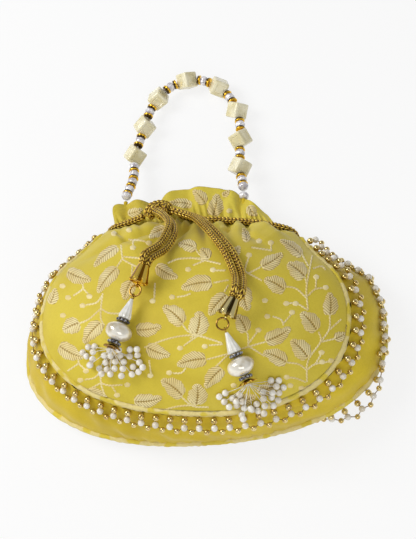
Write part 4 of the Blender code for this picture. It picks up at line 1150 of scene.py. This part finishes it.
strung = [(item[0], np.array([float(n) for n in item[1:].split(",")])) for item in STRAND.split()]
ways = unit(np.gradient(np.array([p for _, p in strung]), axis=0))
cut_bead = mottled("cut_white_bead", (420, 1), 0.38, 0.62, (248, 246, 248), (188, 182, 190),
                   Roughness=0.12, Coat_Weight=0.8, Coat_Roughness=0.05, Specular_IOR_Level=0.7)
spacer_gold = Finish("spacer_gold", Metallic=1.0, Roughness=0.2)
_, lengthwise = spacer_gold.laid()
spacer_gold.set(Base_Color=spacer_gold.mix(lengthwise.between(0.50, 0.56), plain(238, 190, 60),
                                           plain(92, 72, 40)))
ivory = mottled("ivory_block", (120, 3), 0.35, 0.65, (250, 243, 212), (230, 219, 174),
                Roughness=0.24, Coat_Weight=0.5, Coat_Roughness=0.12)
ivory.relief(ivory.noise(700, 2), 0.00008, 0.3)


def cut(name, start, way, across, body):
    """A bead cut with eight shallow flutes."""
    return turned(name, start, way, rounded(BEAD_R, BEAD_L, 0.62, 6), cut_bead, body, across=across,
                  sides=16, rows=12, shape=lambda a, along: 1 - 0.05 * abs(np.sin(4 * a)), smooth=False)


pattern = cut("cut_bead_pattern", (0, 0, -BEAD_L / 2), (0, 0, 1), (0, 1, 0), "handle")
beads = strewn("handle_cut_beads", pattern,
               [facing(p, w) for (kind, p), w in zip(strung, ways) if kind == "b"],
               cut_bead, "handle", smooth=False)
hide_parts("handle_strand")
pattern = turned("spacer_pattern", (0, 0, -SPACER_L / 2), (0, 0, 1),
                 shares("0,0 0,1 .16,1.1 .42,1.1 .5,.94 .62,1.03 .9,1.03 1,.88 1,0", SPACER_L, SPACER_R),
                 spacer_gold, "handle", across=(0, 1, 0), sides=24, rows=20,
                 shape=lambda a, along: 1 - 0.07 * abs(np.sin(6 * a)) * (along > SPACER_L * 0.5))
spacers = strewn("handle_spacers", pattern,
                 [facing(p, w if k % 2 else -w)
                  for k, ((kind, p), w) in enumerate(zip(strung, ways)) if kind == "s"],
                 spacer_gold, "handle")
thread_line = [p for _, p in strung]
inner_thread = threads("handle_thread", list(zip(thread_line, thread_line[1:])), 0.0006,
                       silk_thread, "handle")

cubes = [p for kind, p in strung if kind == "c"]
for number, (spot, way, roll) in enumerate(zip(cubes, CUBE_WAYS, CUBE_ROLLS), 1):
    bpy.ops.object.select_all(action="DESELECT")
    bpy.ops.mesh.primitive_cube_add(size=BLOCK)
    block = bpy.context.object
    block.name = block.data.name = f"ivory_block_{number}"
    bpy.ops.object.mode_set(mode="EDIT")
    bpy.ops.mesh.select_all(action="SELECT")
    for inwards, sunk in ((0.0021, 0.0), (0.0003, -0.00028), (0.0002, 0.0), (0.0003, 0.00022)):
        bpy.ops.mesh.inset(thickness=inwards, depth=sunk, use_individual=True)
    bpy.ops.object.mode_set(mode="OBJECT")
    edges = block.modifiers.new("edges", "BEVEL")
    edges.width = 0.0011
    edges.segments = 4
    edges.limit_method = "ANGLE"
    edges.angle_limit = math.radians(80)
    bpy.ops.object.modifier_apply(modifier="edges")
    block.data.transform(facing(spot, way) @ Matrix.Rotation(math.radians(roll), 4, "Z")
                         @ Matrix.Rotation(math.radians(-90), 4, "Y")
                         @ Matrix.Rotation(math.radians(45), 4, "Z"))
    bpy.ops.object.shade_smooth_by_angle(angle=math.radians(35))
    block.data.materials.append(ivory.material)
    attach(block, "handle")
    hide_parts(f"handle_cube_{number}")


# The handle hangs from two short loops of the bag's own cloth, rolled tight and sewn into the
# ends of the neck. The right one has a cut bead threaded over it, down to the frill.

LOOP_R, LOOP_SEAT, LOOP_END = 0.0013, 0.006, 0.1060 - BEAD_R - GAP
for word, x in (("left", -0.0508), ("right", 0.0272)):
    hem_y = float(np.interp(x, HEM[:, 0], HEM[:, 1])) if word == "left" else 0.0965
    length = LOOP_END - hem_y + LOOP_SEAT
    loop = turned(f"{word}_cloth_loop", (x, hem_y - LOOP_SEAT, 0.0170), (0, 1, 0),
                  [(0.0, 0.0), (0.0, LOOP_R), (length, LOOP_R), (length, 0.0)],
                  side_silk, "bag", sides=20,
                  shape=lambda a, along: 1 + 0.07 * np.sin(3 * a + along * 5200))
    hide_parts(f"{word}_handle_loop")
side_bead = cut("right_loop_bead", (0.0272, 0.0971, 0.0169), (0, 1, 0), None, "bag")


# The bag rests on a plain white table under a white ceiling, with a wide soft window on the
# upper left and a weaker one behind the viewer, who shows as a dark stripe in what shines.

def lamp(name, size, power, place):
    light = bpy.data.lights.new(name, "AREA")
    light.size = size
    light.energy = power
    stand = bpy.data.objects.new(name, light)
    stand.location = place
    stand.rotation_euler = (Vector((0, 0.03, 0.02)) - Vector(place)).to_track_quat("-Z", "Y").to_euler()
    bpy.context.scene.collection.objects.link(stand)


lamp("window", 0.6, 8.4, (-0.80, 0.25, 0.90))
lamp("second_window", 0.9, 5.2, (0.25, -1.0, 0.8))
sky = bpy.data.worlds.new("ceiling")
sky.use_nodes = True
bpy.context.scene.world = sky
ceiling = Nodes(sky.node_tree)
way_out = ceiling.add("ShaderNodeTexCoord", {})
ahead, aside = (ceiling.add("ShaderNodeVectorMath", {"operation": "DOT_PRODUCT"}, way_out, tuple(way),
                            out="Value") for way in (toward, rightward))
reflected = ceiling.add("ShaderNodeLightPath", {}, out="Is Glossy Ray")
viewer = reflected * ahead.between(0.45, 0.75) * (1 - (aside * aside).between(0.02, 0.09))
lit = ceiling.tree.nodes["Background"].inputs
ceiling.put(lit["Color"], (1, 1, 1, 1))
ceiling.put(lit["Strength"], 0.40 - viewer * 0.36)

bpy.ops.object.select_all(action="DESELECT")
bpy.ops.mesh.primitive_plane_add(size=6, location=(0, 0, -0.0005))
table = bpy.context.object
table.name = "table"
bpy.ops.object.transform_apply()
white = Finish("white_table", Roughness=0.9, Base_Color=(0.86, 0.86, 0.86, 1),
               Specular_IOR_Level=0.1)
seen = white.add("ShaderNodeLightPath", {}, out="Is Camera Ray")
for ray in ("Is Glossy Ray", "Is Transmission Ray"):
    seen = seen + white.add("ShaderNodeLightPath", {}, out=ray)
glow = white.add("ShaderNodeEmission", {})
shown = white.add("ShaderNodeMixShader", {}, seen * 0.8, Value(white, white.shader.outputs[0]), glow)
white.put(white.tree.nodes["Material Output"].inputs[0], shown)
table.data.materials.append(white.material)
